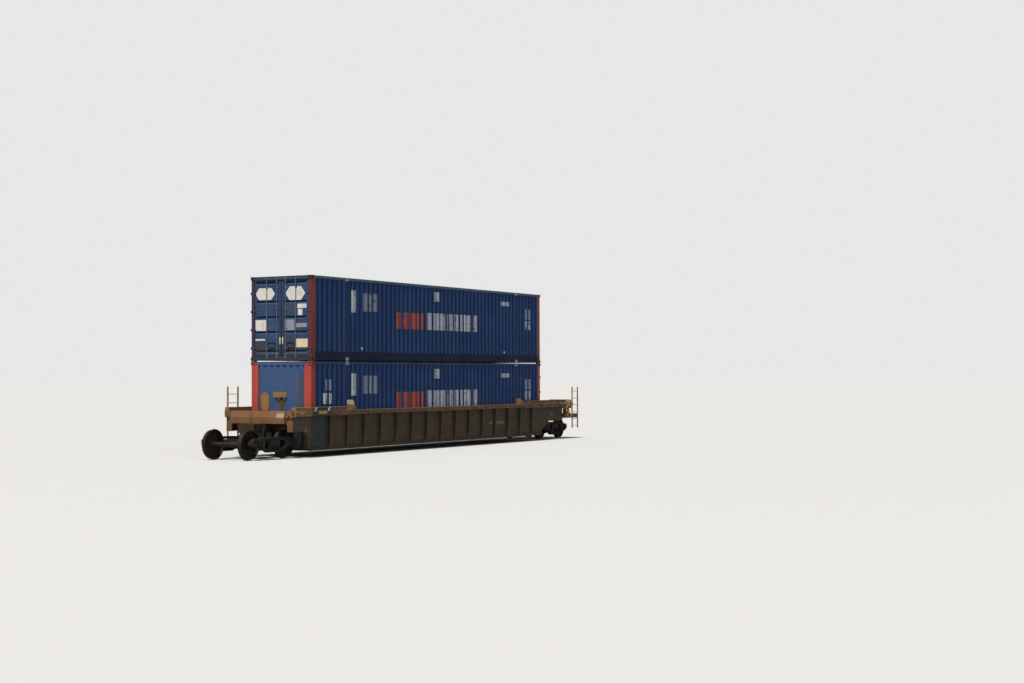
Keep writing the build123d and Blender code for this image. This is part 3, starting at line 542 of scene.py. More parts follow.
upperEndPaint = weatheredPaint(
    "upperEndPaint", (0.023, 0.045, 0.108), (0.036, 0.062, 0.132), dust=(0.042, 0.042, 0.047),
    dustBand=(3.42, 3.98), dustAmount=1.0, streaks=0.3,
    areas=[((None, ys, zs), shade, amount) for ys, zs, shade, amount in endStains]
    + grooveShadeAreas(upperBase, -1))
lowerEndPaint = weatheredPaint(
    "lowerEndPaint", (0.036, 0.070, 0.165), (0.046, 0.083, 0.185), dust=(0.10, 0.075, 0.055),
    dustBand=(0.4, 1.9), dustAmount=0.45, streaks=0.25,
    areas=[(((-8.10, -7.9), (-0.75, -0.63), (1.4, 2.86)), (0.105, 0.072, 0.052), 0.62),
           (((-8.10, -7.9), (-0.99, -0.75), (1.4, 2.76)), (0.058, 0.066, 0.092), 0.55)]
    + grooveShadeAreas(lowerBase, 1))
railPaint = weatheredPaint("bottomRailPaint", (0.004, 0.010, 0.040), (0.010, 0.019, 0.058),
                           streaks=0.2, dust=(0.014, 0.017, 0.028), rustAmount=0.3)
upperRedPaint = weatheredPaint(
    "upperPostRed", (0.24, 0.042, 0.032), (0.29, 0.058, 0.044), dust=(0.055, 0.042, 0.036),
    dustBand=(3.45, 4.1), dustAmount=0.95, rustAmount=0.5, areas=postAreas(upperBase, -1))
lowerRedPaint = weatheredPaint(
    "lowerPostRed", (0.33, 0.050, 0.037), (0.37, 0.070, 0.052), dust=(0.16, 0.09, 0.065),
    dustBand=(0.4, 1.9), streaks=0.3, rustAmount=0.5, areas=postAreas(lowerBase, 1))
upperGreyPaint, lowerGreyPaint = [
    weatheredPaint(name, (0.009, 0.027, 0.092), (0.013, 0.035, 0.108), streaks=0.4,
                   areas=padAreas(base))
    for name, base in (("upperMidPostPaint", upperBase), ("lowerMidPostPaint", lowerBase))]
roofPaint = weatheredPaint("roofPaint", blueBox["teal"], (0.09, 0.15, 0.20),
                           dust=(0.20, 0.19, 0.17), streaks=0.2)
lowerRoofPaint = weatheredPaint("lowerRoofPaint", (0.019, 0.042, 0.100), (0.034, 0.066, 0.130),
                                dust=(0.16, 0.15, 0.14), streaks=0.2)
# Painted shade: the door handles and their catches nearly black, standing for their shadows on the
# doors
handleShadeAreas = [((None, (side * 0.205, side * 0.605), (base + 0.35, base + 0.66)),
                (0.018, 0.019, 0.022), 0.92)
               for side in (-1, 1) for base in (upperBase, lowerBase)]
zincCoat = grimyMetal("zincCoatedSteel", (0.095, 0.106, 0.118), (0.17, 0.18, 0.195),
                      (0.09, 0.065, 0.05), (0.4, 0.65), 0.2, 0.35, handleShadeAreas)
castSteel = grimyMetal("greasyCastSteel", (0.008, 0.0075, 0.007), (0.019, 0.0165, 0.0145),
                       (0.034, 0.019, 0.012))
wheelSteel = grimyMetal("wheelSteel", (0.011, 0.0095, 0.0085), (0.022, 0.0185, 0.016),
                        (0.038, 0.020, 0.012), (0.4, 0.75), 0.3, 0.55)
springSteel = grimyMetal("springSteel", (0.02, 0.018, 0.017), (0.05, 0.043, 0.037),
                         (0.06, 0.032, 0.018), (0.45, 0.7), 0.4)
blackRubber = grimyMetal("doorSealRubber", (0.012, 0.012, 0.013), (0.025, 0.024, 0.024),
                         (0.06, 0.055, 0.05), (0.6, 0.85), wear=0.4)
ochrePaint = sillPaint()
# End frame: painted shade, near black below the cross beam and darker brown on its far side
framePaint = weatheredPaint(
    "endFrameOchre", (0.155, 0.080, 0.036), (0.195, 0.108, 0.052), dust=(0.065, 0.044, 0.028),
    dustBand=(1.0, 1.45), streaks=0.6, rustAmount=0.8,
    areas=[((None, (-1.14, 1.14), (0.0, 1.165)), (0.014, 0.011, 0.009), 0.9),
           ((None, (1.10, 1.60), None), (0.12, 0.075, 0.042), 0.6)])
# Stand: ochre kept dark, and the legs on the near side nearly black, partly dirt and partly painted
# shade
standPaint = weatheredPaint(
    "standOchre", (0.205, 0.108, 0.029), (0.25, 0.143, 0.048), dust=(0.08, 0.055, 0.035),
    streaks=0.4, rustAmount=0.7,
    areas=[((None, (-1.30, -0.60), (1.0, 2.04)), (0.045, 0.028, 0.016), 0.85)])
guidePaint = weatheredPaint(
    "guideOchre", (0.15, 0.080, 0.033), (0.185, 0.108, 0.050), dust=(0.07, 0.05, 0.035),
    streaks=0.5, rustAmount=0.7,
    areas=[(((-6.10, -5.70), None, (1.76, 1.95)), (0.38, 0.33, 0.30), 0.7)])
deckPaint = weatheredPaint("deckBrown", (0.115, 0.066, 0.036), (0.16, 0.095, 0.052),
                           dust=(0.06, 0.045, 0.032), streaks=0.5, rustAmount=0.8)
ladderPaint = weatheredPaint("ladderPaint", (0.27, 0.150, 0.070), (0.34, 0.21, 0.11),
                             dust=(0.10, 0.07, 0.05), streaks=0.4, rustAmount=0.8)
yellowPaint = weatheredPaint("handBrakeYellow", (0.44, 0.24, 0.055), (0.50, 0.30, 0.09),
                             dust=(0.12, 0.09, 0.06), rustAmount=0.6, streaks=0.3)
tankPaint = weatheredPaint("airTankPaint", (0.17, 0.10, 0.06), (0.22, 0.135, 0.085),
                           dust=(0.08, 0.06, 0.05), rustAmount=0.6, streaks=0.5)
whiteFoil = plainSheet("whitePlate", (0.56, 0.55, 0.52), (0.36, 0.34, 0.30))
greyFoil = plainSheet("greyPlate", (0.20, 0.22, 0.27), (0.10, 0.105, 0.125))
dimFoil = plainSheet("dimPlate", (0.105, 0.108, 0.110), (0.055, 0.052, 0.047))
dustyFoil = plainSheet("dustyPlate", (0.27, 0.24, 0.19), (0.17, 0.14, 0.105))
creamFoil = plainSheet("creamPlate", (0.62, 0.50, 0.32), (0.42, 0.30, 0.16))
floorTimber = weatheredPaint("floorTimber", (0.22, 0.125, 0.065), (0.28, 0.17, 0.095),
                             dust=(0.16, 0.12, 0.09), streaks=0.1, rustAmount=0.0,
                             shine=(0.55, 0.8))

nodeFinishes = [
    # material, how the names of its nodes start
    (upperWallPaint, "upper_sides"), (lowerWallPaint, "lower_sides"),
    (upperEndPaint, "upper_door upper_front upper_end_rails"),
    (lowerEndPaint, "lower_door lower_front lower_end_rails"),
    (railPaint, "upper_base lower_base"), (upperRedPaint, "upper_corner"),
    (lowerRedPaint, "lower_corner"), (upperGreyPaint, "upper_mid"), (lowerGreyPaint, "lower_mid"),
    (roofPaint, "upper_roof"), (lowerRoofPaint, "lower_roof"),
    (zincCoat, "upper_rods lower_rods box_locks"),
    (castSteel, "side_frames truck_bolster articulated centre_plate coupler brake_beams"),
    (deckPaint, "stub_sill body_bolster end_deck"), (ladderPaint, "ladders grab_irons"),
    (framePaint, "end_frame"), (standPaint, "end_stand"), (guidePaint, "container_guides"),
    (wheelSteel, "wheelset"), (springSteel, "springs"), (tankPaint, "air_tank"),
    (yellowPaint, "hand_brake"),
]
for nodeName, node in cadNodes.items():
    finish = ochrePaint
    for paint, starts in nodeFinishes:
        if nodeName.startswith(tuple(starts.split())):
            finish = paint
    node.data.materials.clear()
    node.data.materials.append(finish)
print("materials made")


# Coil springs of the trucks
springSet = {"wire": 0.016, "coilRadius": 0.045, "turns": 4, "steps": 16, "pitch": 0.14,
             "sideY": 1.005, "truckX": 9.8, "seat": 0.06, "seatThick": 0.012}
for truck, end in (("left", -1), ("right", 1)):
    low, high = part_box("springs_" + truck)
    deselectAll()
    bpy.ops.mesh.primitive_circle_add(vertices=8, radius=springSet["wire"],
                                      location=(springSet["coilRadius"], 0, 0),
                                      rotation=(pi / 2, 0, 0))
    coil = applyPlace(bpy.context.active_object)
    screw = coil.modifiers.new("coil", "SCREW")
    screw.axis = "Z"
    screw.angle = 2 * pi
    screw.screw_offset = (high.z - low.z - 2 * springSet["wire"]) / springSet["turns"]
    screw.iterations = springSet["turns"]
    screw.steps = screw.render_steps = springSet["steps"]
    applyAll(coil)
    bpy.ops.object.mode_set(mode="EDIT")
    bpy.ops.mesh.select_all(action="SELECT")
    bpy.ops.mesh.fill_holes(sides=0)
    bpy.ops.mesh.normals_make_consistent(inside=False)
    bpy.ops.object.mode_set(mode="OBJECT")
    bpy.ops.object.shade_smooth_by_angle(angle=radians(60))
    coils = []
    for step in (-1, 0, 1):
        for y in (-springSet["sideY"], springSet["sideY"]):
            x = end * springSet["truckX"] + step * springSet["pitch"]
            coils.append(copyPiece(coil, (x, y, low.z + springSet["wire"])))
            for bottom, top in ((low.z, low.z + springSet["seatThick"]),
                                (high.z - springSet["seatThick"], high.z)):
                coils.append(addRod((x, y, bottom), (x, y, top), springSet["seat"], 20))
    bpy.data.objects.remove(coil)
    springs = finishPiece(coils, "coil_springs_" + truck, springSteel,
                          "truck_" + truck)
    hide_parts("springs_" + truck)
print("springs made")

# End caps with three bolts on each bearing
bearingCap = {"faceY": 1.110, "radius": 0.075, "boltCircle": 0.038, "depth": 0.022,
              "boltFoot": 0.012}
for truck in ("left", "right"):
    for axle in ("outer", "inner"):
        low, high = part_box("wheelset_%s_%s" % (truck, axle))
        x, z = (low.x + high.x) / 2, (low.z + high.z) / 2
        caps = []
        for side in (-1, 1):
            outer = side * bearingCap["faceY"]
            cap = addRod((x, outer - side * bearingCap["depth"], z), (x, outer, z),
                         bearingCap["radius"], 24)
            caps.append(bevelEdges(cap, 0.008))
            turns = [radians(90 + 120 * index) for index in range(3)]
            caps += addBolts([(x + bearingCap["boltCircle"] * cos(turn),
                               outer - side * bearingCap["boltFoot"],
                               z + bearingCap["boltCircle"] * sin(turn)) for turn in turns],
                             (0, side, 0), 0.013)
        finishPiece(caps, "bearing_caps_%s_%s" % (truck, axle), castSteel,
                    "wheels_%s_%s" % (truck, axle))
print("bearing caps made")

# Hand brake: gear housing and a round rimmed wheel
handBrake = {"rim": 0.013, "hub": 0.05, "spokes": 5, "spoke": 0.011, "wheelY": -1.502,
             "wheelRise": 0.195, "boltSteps": (-0.07, 0.07), "boltRises": (-0.11, 0.11)}
low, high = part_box("hand_brake")
wheelX, wheelY, wheelZ = (low.x + high.x) / 2, handBrake["wheelY"], low.z + handBrake["wheelRise"]
rimRadius = (high.x - low.x) / 2 - handBrake["rim"]
deselectAll()
bpy.ops.mesh.primitive_torus_add(major_radius=rimRadius, minor_radius=handBrake["rim"],
                                 major_segments=48, minor_segments=10,
                                 location=(wheelX, wheelY, wheelZ), rotation=(pi / 2, 0, 0))
parts = [applyPlace(bpy.context.active_object)]
bpy.ops.object.shade_smooth()
for index in range(handBrake["spokes"]):
    turn = radians(90 + 360 / handBrake["spokes"] * index)
    start, end = [(wheelX + reach * cos(turn), wheelY, wheelZ + reach * sin(turn))
                  for reach in (0.03, rimRadius)]
    parts.append(addRod(start, end, handBrake["spoke"]))
parts.append(addRod((wheelX, wheelY - 0.015, wheelZ), (wheelX, -1.39, wheelZ),
                    handBrake["hub"] * 0.55, 20))
parts.append(bevelEdges(addRod((wheelX, wheelY - 0.018, wheelZ), (wheelX, wheelY + 0.03, wheelZ),
                               handBrake["hub"], 24), 0.008))
finishPiece(parts, "hand_brake_wheel", yellowPaint)
parts = [addBlock(span(wheelX, 0.10), (-1.38, -1.24), (low.z + 0.02, high.z - 0.14), 0.02),
         addBlock(span(wheelX, 0.13), (-1.40, -1.22), (low.z, low.z + 0.025)),
         bevelEdges(addRod((wheelX, -1.402, wheelZ), (wheelX, -1.37, wheelZ), 0.085, 28), 0.01)]
parts += addBolts([(wheelX + step, -1.379, wheelZ + rise) for step in handBrake["boltSteps"]
                   for rise in handBrake["boltRises"]], (0, -1, 0))
gearCase = finishPiece(parts, "hand_brake_case", ochrePaint)
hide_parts("hand_brake")
print("hand brake made")

# Door hardware: seals, seam plates, lock rod fittings, hinge pins and blank plates
sides = (("near", -1), ("far", 1))
door = {
    # how far out each face stands, from the middle of the container
    "face": 8.031, "pad": 8.036, "camPad": 8.037, "cover": 8.038, "lipOut": 8.044, "tag": 8.046,
    "post": 8.057, "keeperPad": 8.061, "catch": 8.064, "cam": 8.066, "cradle": 8.067,
    "keeper": 8.070,
    # sizes and places, heights above the container's base
    "keeperZs": ((0.085, 0.150), (2.776, 2.835)), "inner": 0.006, "edge": 1.1475,
    "low": 0.168, "high": 2.758, "rodX": 8.052, "hingeX": 8.07, "hingeY": 1.2945,
    "seal": 0.016, "sealOut": 0.006, "seamPlate": (0.024, 0.088), "lip": 0.010,
    "plate": 0.003, "rods": (0.19, 0.62), "brackets": (0.225, 1.10, 1.80, 2.50),
    "hinges": (0.43, 1.06, 1.69, 2.32), "handleReach": 0.37,
    "handles": {-1: ((0.62, 0.19, 0.400), (0.19, 0.62, 0.575)),
                1: ((0.19, 0.62, 0.400), (0.62, 0.19, 0.575))},
    "hexagons": {-1: (-1.01, -0.17, 2.06, 2.53), 1: (0.28, 1.12, 2.09, 2.50)},
}
doorLabels = {
    # first Y, last Y, low and high above the container's base, material
    -1: [(-1.06, -0.68, 1.78, 1.93, whiteFoil), (-0.89, -0.70, 1.54, 1.75, whiteFoil),
         (-0.55, -0.14, 1.03, 1.40, greyFoil), (-1.08, -0.59, 1.13, 1.27, greyFoil),
         (-1.11, -0.59, 0.45, 0.74, creamFoil)],
    1: [(0.66, 1.12, 1.03, 1.40, whiteFoil), (0.71, 1.12, 0.69, 0.75, whiteFoil)],
}


def hexagonOutline(first, last, low, high):
    # A flat six-sided plate with its points to the left and right
    middle, cut = (low + high) / 2, (high - low) * 0.38
    return [(first, middle), (first + cut, low), (last - cut, low), (last, middle),
            (last - cut, high), (first + cut, high)]


def faceBlock(doorEnd, deep, proud, ys, zs, bevel=0.002):
    # A block on the door face, from deep to proud, over a range of Y and Z
    return addBlock((doorEnd * deep, doorEnd * proud), ys, zs, bevel)


def doorSeals(base, doorEnd, side):
    inner, edge, width = door["inner"], door["edge"], door["seal"]
    low, high = base + door["low"], base + door["high"]
    ranges = [((side * first, side * last), (low, high))
              for first, last in ((inner, inner + width), (edge - width, edge))]
    ranges += [((side * inner, side * edge), zs)
               for zs in ((low, low + width), (high - width, high))]
    return [faceBlock(doorEnd, door["face"], door["face"] + door["sealOut"], ys, zs)
            for ys, zs in ranges]


def doorPlates(base, doorEnd, side):
    # Blank plates, the lock's tag and the six-sided plate of a door, sorted by material
    face, thickness = doorEnd * door["face"], doorEnd * door["plate"]
    groups = {}
    for first, last, low, high, material in doorLabels[side]:
        outline = rectangle((first, last), (base + low, base + high))
        groups.setdefault(material, []).append(addPlate(outline, 0, face, thickness))
    groups.setdefault(creamFoil, []).append(
        faceBlock(doorEnd, door["cover"], door["tag"], (side * 0.036, side * 0.076),
                  (base + 0.56, base + 0.80), 0.003))
    first, last, low, high = door["hexagons"][side]
    outline = hexagonOutline(first, last, base + low, base + high)
    groups.setdefault(whiteFoil, []).append(addPlate(outline, 0, face, thickness))
    return groups


def doorFittings(base, doorEnd, side):
    # Cams at the rod ends, cradles, handle hubs and catches, and bolts
    parts, bolts = [], []
    face, pad, cover = door["face"], door["pad"], door["cover"]
    for rodY in door["rods"]:
        y = side * rodY
        for z in (base + door["low"] + 0.012, base + door["high"] - 0.047):
            parts.append(faceBlock(doorEnd, face, door["cam"], span(y, 0.024), (z, z + 0.035),
                                   0.004))
            parts.append(faceBlock(doorEnd, face, door["camPad"], span(y, 0.045),
                                   (z - 0.004, z + 0.039)))
        for height in door["brackets"]:
            z = base + height
            parts.append(faceBlock(doorEnd, face, pad, span(y, 0.05), span(z, 0.026)))
            parts.append(faceBlock(doorEnd, pad, door["cradle"], span(y, 0.020), span(z, 0.017),
                                   0.005))
            bolts += [(doorEnd * pad, y + step, z) for step in (-0.038, 0.038)]
    for rodY, otherY, height in door["handles"][side]:
        y, z = side * rodY, base + height
        reach = door["handleReach"] if side * (otherY - rodY) > 0 else -door["handleReach"]
        rodX = doorEnd * door["rodX"]
        parts.append(addRod((rodX, y, z - 0.050), (rodX, y, z + 0.020), 0.0155, 16))
        catchY = y + reach * 0.90
        parts.append(faceBlock(doorEnd, face, cover, span(catchY, 0.030), (z - 0.033, z + 0.062)))
        for low in (z - 0.024, z + 0.032):
            parts.append(faceBlock(doorEnd, cover, door["catch"], span(catchY, 0.012),
                                   (low, low + 0.010)))
        bolts += [(doorEnd * cover, catchY + step, z + 0.052) for step in (-0.020, 0.020)]
    bolts += [(doorEnd * door["hingeX"], side * (door["edge"] - 0.012 + step), base + height)
              for height in door["hinges"] for step in (-0.030, 0.0)]
    return parts + addBolts(bolts, (doorEnd, 0, 0), 0.006, 0.004)


def seamPlates(base, doorEnd, side):
    # A folded cover along the meeting edge, with a lip at each side
    zs = (base + door["low"] + 0.05, base + door["high"] - 0.05)
    first, last = door["seamPlate"]
    parts = [faceBlock(doorEnd, door["face"], door["cover"], (side * first, side * last), zs)]
    for edge in (first, last - door["lip"]):
        parts.append(faceBlock(doorEnd, door["pad"], door["lipOut"],
                               (side * edge, side * (edge + door["lip"])), zs))
    return parts


def doorKeepers(base, doorEnd):
    # What the cams lock into, on the sill and the header, and the pins of the hinges
    parts, post = [], door["post"]
    for side in (-1, 1):
        for rodY in door["rods"]:
            y = side * rodY
            for low, high in door["keeperZs"]:
                zs = (base + low, base + high)
                for step in (-0.034, 0.020):
                    parts.append(faceBlock(doorEnd, post, door["keeper"],
                                           (y + step, y + step + 0.014), zs))
                parts.append(faceBlock(doorEnd, post, door["keeperPad"], span(y, 0.040), zs))
        for height in door["hinges"]:
            x, y, z = doorEnd * door["hingeX"], side * door["hingeY"], base + height
            for low, high in ((z - 0.043, z - 0.038), (z + 0.038, z + 0.043)):
                parts.append(addRod((x, y, low), (x, y, high), 0.007))
    return parts


for container, endPaint in (("upper", upperEndPaint), ("lower", lowerEndPaint)):
    base, doorEnd = blueBox["bases"][container], blueBox["doorEnds"][container]
    for sideName, side in sides:
        body = "door_" + sideName if container == "upper" else "car"
        for partName, make, material, slotName in (
                ("seals", doorSeals, blackRubber, "galvanised_steel"),
                ("fittings", doorFittings, zincCoat, "galvanised_steel"),
                ("seam_plate", seamPlates, endPaint, "container_blue")):
            finishPiece(make(base, doorEnd, side), "%s_door_%s_%s" % (container, partName, sideName),
                        material, body)
        for index, (material, plates) in enumerate(doorPlates(base, doorEnd, side).items(), 1):
            finishPiece(plates, "%s_door_plates_%s_%d" % (container, sideName, index), material,
                        body)
    finishPiece(doorKeepers(base, doorEnd), container + "_door_keepers", zincCoat)
print("door hardware made")

# Timber floors inside the containers, and gusset plates on the roof corners
inside = {"halfLength": 7.80, "halfWidth": 1.215, "boards": 8, "floor": 0.155, "thick": 0.004,
          "gap": 0.006}
for container, base in blueBox["bases"].items():
    boards = []
    width = 2 * inside["halfWidth"] / inside["boards"]
    floorZ = base + inside["floor"]
    for index in range(inside["boards"]):
        first = -inside["halfWidth"] + index * width
        boards.append(addBlock(span(0, inside["halfLength"]),
                               (first, first + width - inside["gap"]),
                               (floorZ, floorZ + inside["thick"]), 0.001))
    finishPiece(boards, container + "_floor_boards", floorTimber)
gusset = {"outline": ((7.82, 1.13), (7.52, 1.13), (7.52, 1.05), (7.72, 0.85), (7.82, 0.85)),
          "face": 6.1675, "thick": 0.004}
gussets = [addPlate([(end * x, side * y) for x, y in gusset["outline"]], 2, gusset["face"],
                    gusset["thick"]) for end in (-1, 1) for side in (-1, 1)]
finishPiece(gussets, "roof_gussets", roofPaint)
print("floors and gussets made")

# Side sills: bolts on the ribs and splice plates, chord covers, blank plates and slanted bars
sillParts = {"ribFirst": -7.14, "ribPitch": 1.02, "ribCount": 15, "ribLow": 0.30, "ribHigh": 1.436,
             "ribFoot": 1.416, "ribTop": 1.446, "boltHeights": (0.40, 0.58, 0.98, 1.18, 1.34),
             "spliceX": (-6.9, -2.3, 2.3, 6.9), "spliceHalf": 0.22, "spliceZ": (1.435, 1.555),
             "spliceThick": 0.008, "spliceBolts": (-0.17, -0.09, 0.09, 0.17),
             "webBolts": (8.35, 8.60, 8.85, 9.10, 9.35, 9.60), "web": 1.341, "chord": 1.5,
             "label": -0.004}
for sideName, side in sides:
    bolts, plates = [], []
    face = side * sillParts["chord"]
    for index in range(sillParts["ribCount"]):
        x = sillParts["ribFirst"] + index * sillParts["ribPitch"]
        for z in sillParts["boltHeights"]:
            share = (z - sillParts["ribLow"]) / (sillParts["ribHigh"] - sillParts["ribLow"])
            y = sillParts["ribFoot"] + share * (sillParts["ribTop"] - sillParts["ribFoot"])
            bolts += [(x + step, side * (y - 0.001), z) for step in (-0.027, 0.027)]
    for x in sillParts["spliceX"]:
        plates.append(addPlate(rectangle(span(x, sillParts["spliceHalf"]), sillParts["spliceZ"]),
                               1, face, side * sillParts["spliceThick"]))
        bolts += [(x + step, face + side * sillParts["spliceThick"], z)
                  for step in sillParts["spliceBolts"] for z in (1.46, 1.53)]
    bolts += [(end * (6.55 + 0.22 * step), face, z)
              for end in (-1, 1) for z in (1.43, 1.66) for step in range(12)]
    bolts += [(x, side * sillParts["web"], 1.30) for x in sillParts["webBolts"]]
    finishPiece(plates + addBolts(bolts, (0, side, 0), 0.011, 0.010), "sill_fittings_" + sideName,
                ochrePaint)

labels = {
    # first X, last X, low, high, face, material
    "ochre_plate": (-7.92, -7.46, 1.46, 1.56, "chord", yellowPaint),
    "grey_label": (4.29, 4.92, 0.79, 0.91, "web", dimFoil),
    "grey_label_left": (3.68, 3.99, 0.81, 0.92, "web", dimFoil),
    "small_label": (-8.54, -8.37, 0.88, 1.01, "web", dimFoil),
    "yellow_spot": (-8.92, -8.81, 1.46, 1.56, "chord", yellowPaint),
    "white_label": (8.90, 9.05, 1.02, 1.14, "web", dimFoil),
}
for labelName, (first, last, low, high, face, material) in labels.items():
    plate = addPlate(rectangle((first, last), (low, high)), 1, -sillParts[face],
                     sillParts["label"])
    finishPiece([plate], labelName, material)
bars = []
for first in (-8.19, -7.43):
    outline = [(first, 1.56), (first + 0.10, 1.56), (first + 0.19, 1.69), (first + 0.09, 1.69)]
    bars.append(addPlate(outline, 1, -sillParts["chord"], sillParts["label"]))
finishPiece(bars, "slanted_bars", whiteFoil)
print("sill details made")

# Wear plates on the guides, with their bolts
guides = {"ranges": ((-6.04, -5.75, 1.91), (5.92, 6.15, 1.80)), "boltShares": (0.15, 0.5, 0.85)}
wear = []
for first, last, top in guides["ranges"]:
    for side in (-1, 1):
        wear.append(addBlock((first + 0.02, last - 0.02), (side * 1.3105, side * 1.3055),
                             (top - 0.20, top - 0.005), 0.001))
        wear.append(addPlate(rectangle((first + 0.01, last - 0.01), (side * 1.3125, side * 1.378)),
                             2, top, 0.005))
        wear += addBolts([(first + share * (last - first), side * 1.345, top + 0.004)
                          for share in guides["boltShares"]], (0, 0, 1), 0.010, 0.007)
finishPiece(wear, "guide_wear_plates", guidePaint)
print("guides made")

# Left end: bolts on the end frame, blank plate on the cross beam, frame of the panel, pipe
leftEnd = {"beamX": -9.36, "plateY": (-1.12, -0.82), "fold": 1.381, "plateThick": -0.005,
           "panelX": (-9.262, -9.256), "panelY": (-0.42, -0.08), "panelZ": (1.60, 2.19),
           "bar": 0.04, "postYs": (-1.205, -0.675), "pipeY": -0.42}
places = []
for side in (-1, 1):
    places += [(-9.30, side * y, z) for y in (1.17, 1.40) for z in (1.47, 1.56)]
    places += [(-9.24, side * y, z) for y in (1.20, 1.37) for z in (0.95, 1.07, 1.19, 1.31)]
    places += [(leftEnd["beamX"], side * y, z) for y in (0.25, 0.55, 0.85) for z in (1.20, 1.34)]
frameBolts = addBolts(places, (-1, 0, 0), 0.016, 0.014)
low, high = leftEnd["panelZ"]
first, last = leftEnd["panelY"]
bar = leftEnd["bar"]
panel = [addBlock(leftEnd["panelX"], ys, zs, 0.002)
         for ys, zs in (((first, last), (low, low + bar)), ((first, last), (high - bar, high)),
                        ((first, first + bar), (low, high)), ((last - bar, last), (low, high)))]
for y in leftEnd["postYs"]:
    panel.append(addRod((-9.336, y, 2.06), (-9.336, y, 2.22), 0.010))
    panel.append(addRod((-9.115, y, 2.06), (-9.115, y, 2.16), 0.008))
panel.append(addRod(*[(-9.336, y, 2.212) for y in leftEnd["postYs"]], 0.009))
flat, sloped = [addPlate(rectangle(leftEnd["plateY"], zs), 0, leftEnd["beamX"],
                         leftEnd["plateThick"])
                for zs in ((1.345, leftEnd["fold"]), (leftEnd["fold"], 1.505))]
for vertex in sloped.data.vertices:
    vertex.co.x += (vertex.co.z - 1.38) * 0.2857
finishPiece([flat, sloped], "beam_plate", dustyFoil)
finishPiece(frameBolts, "end_frame_bolts", framePaint)
finishPiece(panel, "stand_fittings", standPaint)
pipeY = leftEnd["pipeY"]
pipes = [bentRod([(x, pipeY, z) for x, z in ((-8.30, 0.98), (-9.10, 0.98), (-9.38, 1.02),
                                             (-9.46, 1.10), (-9.50, 1.06), (-9.55, 0.92))], 0.017),
         bentRod([(-9.255, 1.05, 1.05), (-9.262, 0.60, 1.05), (-9.262, 0.36, 1.02)], 0.012, 3)]
pipes += [addBlock(span(x, 0.02), (-0.45, -0.33), (0.955, 1.005), 0.003) for x in (-8.45, -9.00)]
pipes.append(addRod((-9.55, pipeY, 0.93), (-9.575, pipeY, 0.84), 0.026, 16))
finishPiece(pipes, "brake_pipe_left", castSteel)
print("left end made")

# Right end: tank bands and valve, pipes, uncoupling rod, deck bars
rightEnd = {"tankX": 10.8, "tankZ": 1.5, "bandYs": (-1.13, -0.45), "band": 0.194,
            "bandWidth": 0.045, "deckZ": 1.075, "valveY": 0.45, "valveZ": 1.24, "leverX": 11.125,
            "pipeY": 0.52}
tankX, tankZ, deckZ = rightEnd["tankX"], rightEnd["tankZ"], rightEnd["deckZ"]
tankParts = []
for y in rightEnd["bandYs"]:
    deselectAll()
    bpy.ops.mesh.primitive_cylinder_add(vertices=48, radius=rightEnd["band"],
                                        depth=rightEnd["bandWidth"], location=(tankX, y, tankZ),
                                        rotation=(pi / 2, 0, 0))
    tankParts.append(bevelEdges(applyPlace(bpy.context.active_object), 0.004))
    tankParts += [addBlock(span(tankX + side * 0.130, 0.02), span(y, 0.035), (deckZ, 1.12))
                  for side in (-1, 1)]
    tankParts += addBolts([(tankX + side * 0.165, y, deckZ) for side in (-1, 1)], (0, 0, 1))
tankParts.append(addRod((tankX, -0.79, 1.32), (tankX, -0.79, 1.27), 0.022, 16))
tankParts.append(bentRod([(tankX, y, z) for y, z in ((-0.20, 1.5), (-0.08, 1.5), (-0.02, 1.47),
                                                     (0.0, 1.40), (0.02, 1.33), (0.10, 1.30),
                                                     (0.26, 1.30))], 0.014))
finishPiece(tankParts, "tank_fittings", tankPaint)
valveY, valveZ = rightEnd["valveY"], rightEnd["valveZ"]
valve = [addBlock((10.69, 10.91), (0.27, 0.43), (1.395, 1.43), 0.008)]
valve += [bevelEdges(addRod(start, end, radius, sideCount), 0.008)
          for start, end, radius, sideCount in (
              ((10.69, valveY, valveZ), (10.64, valveY, valveZ), 0.075, 28),
              ((10.91, valveY, valveZ), (10.96, valveY, valveZ), 0.085, 28),
              ((tankX, 0.56, 1.395), (tankX, 0.56, 1.44), 0.045, 24))]
valve += addBolts([(10.96, valveY + 0.065 * cos(radians(60 * step)),
                    valveZ + 0.065 * sin(radians(60 * step))) for step in range(6)],
                  (1, 0, 0), 0.010)
valve.append(bentRod([(tankX, y, z) for y, z in ((0.65, 1.20), (0.80, 1.20), (0.86, 1.17),
                                                 (0.88, 1.09), (0.88, 1.076))], 0.012))
finishPiece(valve, "brake_valve_parts", castSteel)
leverX = rightEnd["leverX"]
lever = [bentRod([(leverX, y, z) for y, z in places], 0.011, 3) for places in (
    ((-1.44, 0.99), (-1.38, 0.985), (-0.55, 0.985), (-0.45, 1.0), (-0.36, 1.03)),
    ((-1.44, 0.99), (-1.455, 0.96), (-1.46, 0.84)))]
lever += [addBlock((11.11, 11.142), span(y, 0.02), (0.965, 1.005), 0.003) for y in (-1.30, -0.62)]
finishPiece(lever, "uncoupling_rod", castSteel)
pipeY = rightEnd["pipeY"]
pipeEnd = [bentRod([(x, pipeY, z) for x, z in ((11.02, 0.86), (11.14, 0.86), (11.19, 0.85),
                                               (11.22, 0.81), (11.23, 0.78))], 0.019),
           addRod((11.229, pipeY, 0.785), (11.234, pipeY, 0.755), 0.030, 20),
           addRod((11.17, pipeY, 0.86), (11.17, pipeY, 0.905), 0.012),
           addBlock((11.05, 11.10), (0.49, 0.55), (0.835, 0.90))]
finishPiece(pipeEnd, "brake_pipe_right", castSteel)
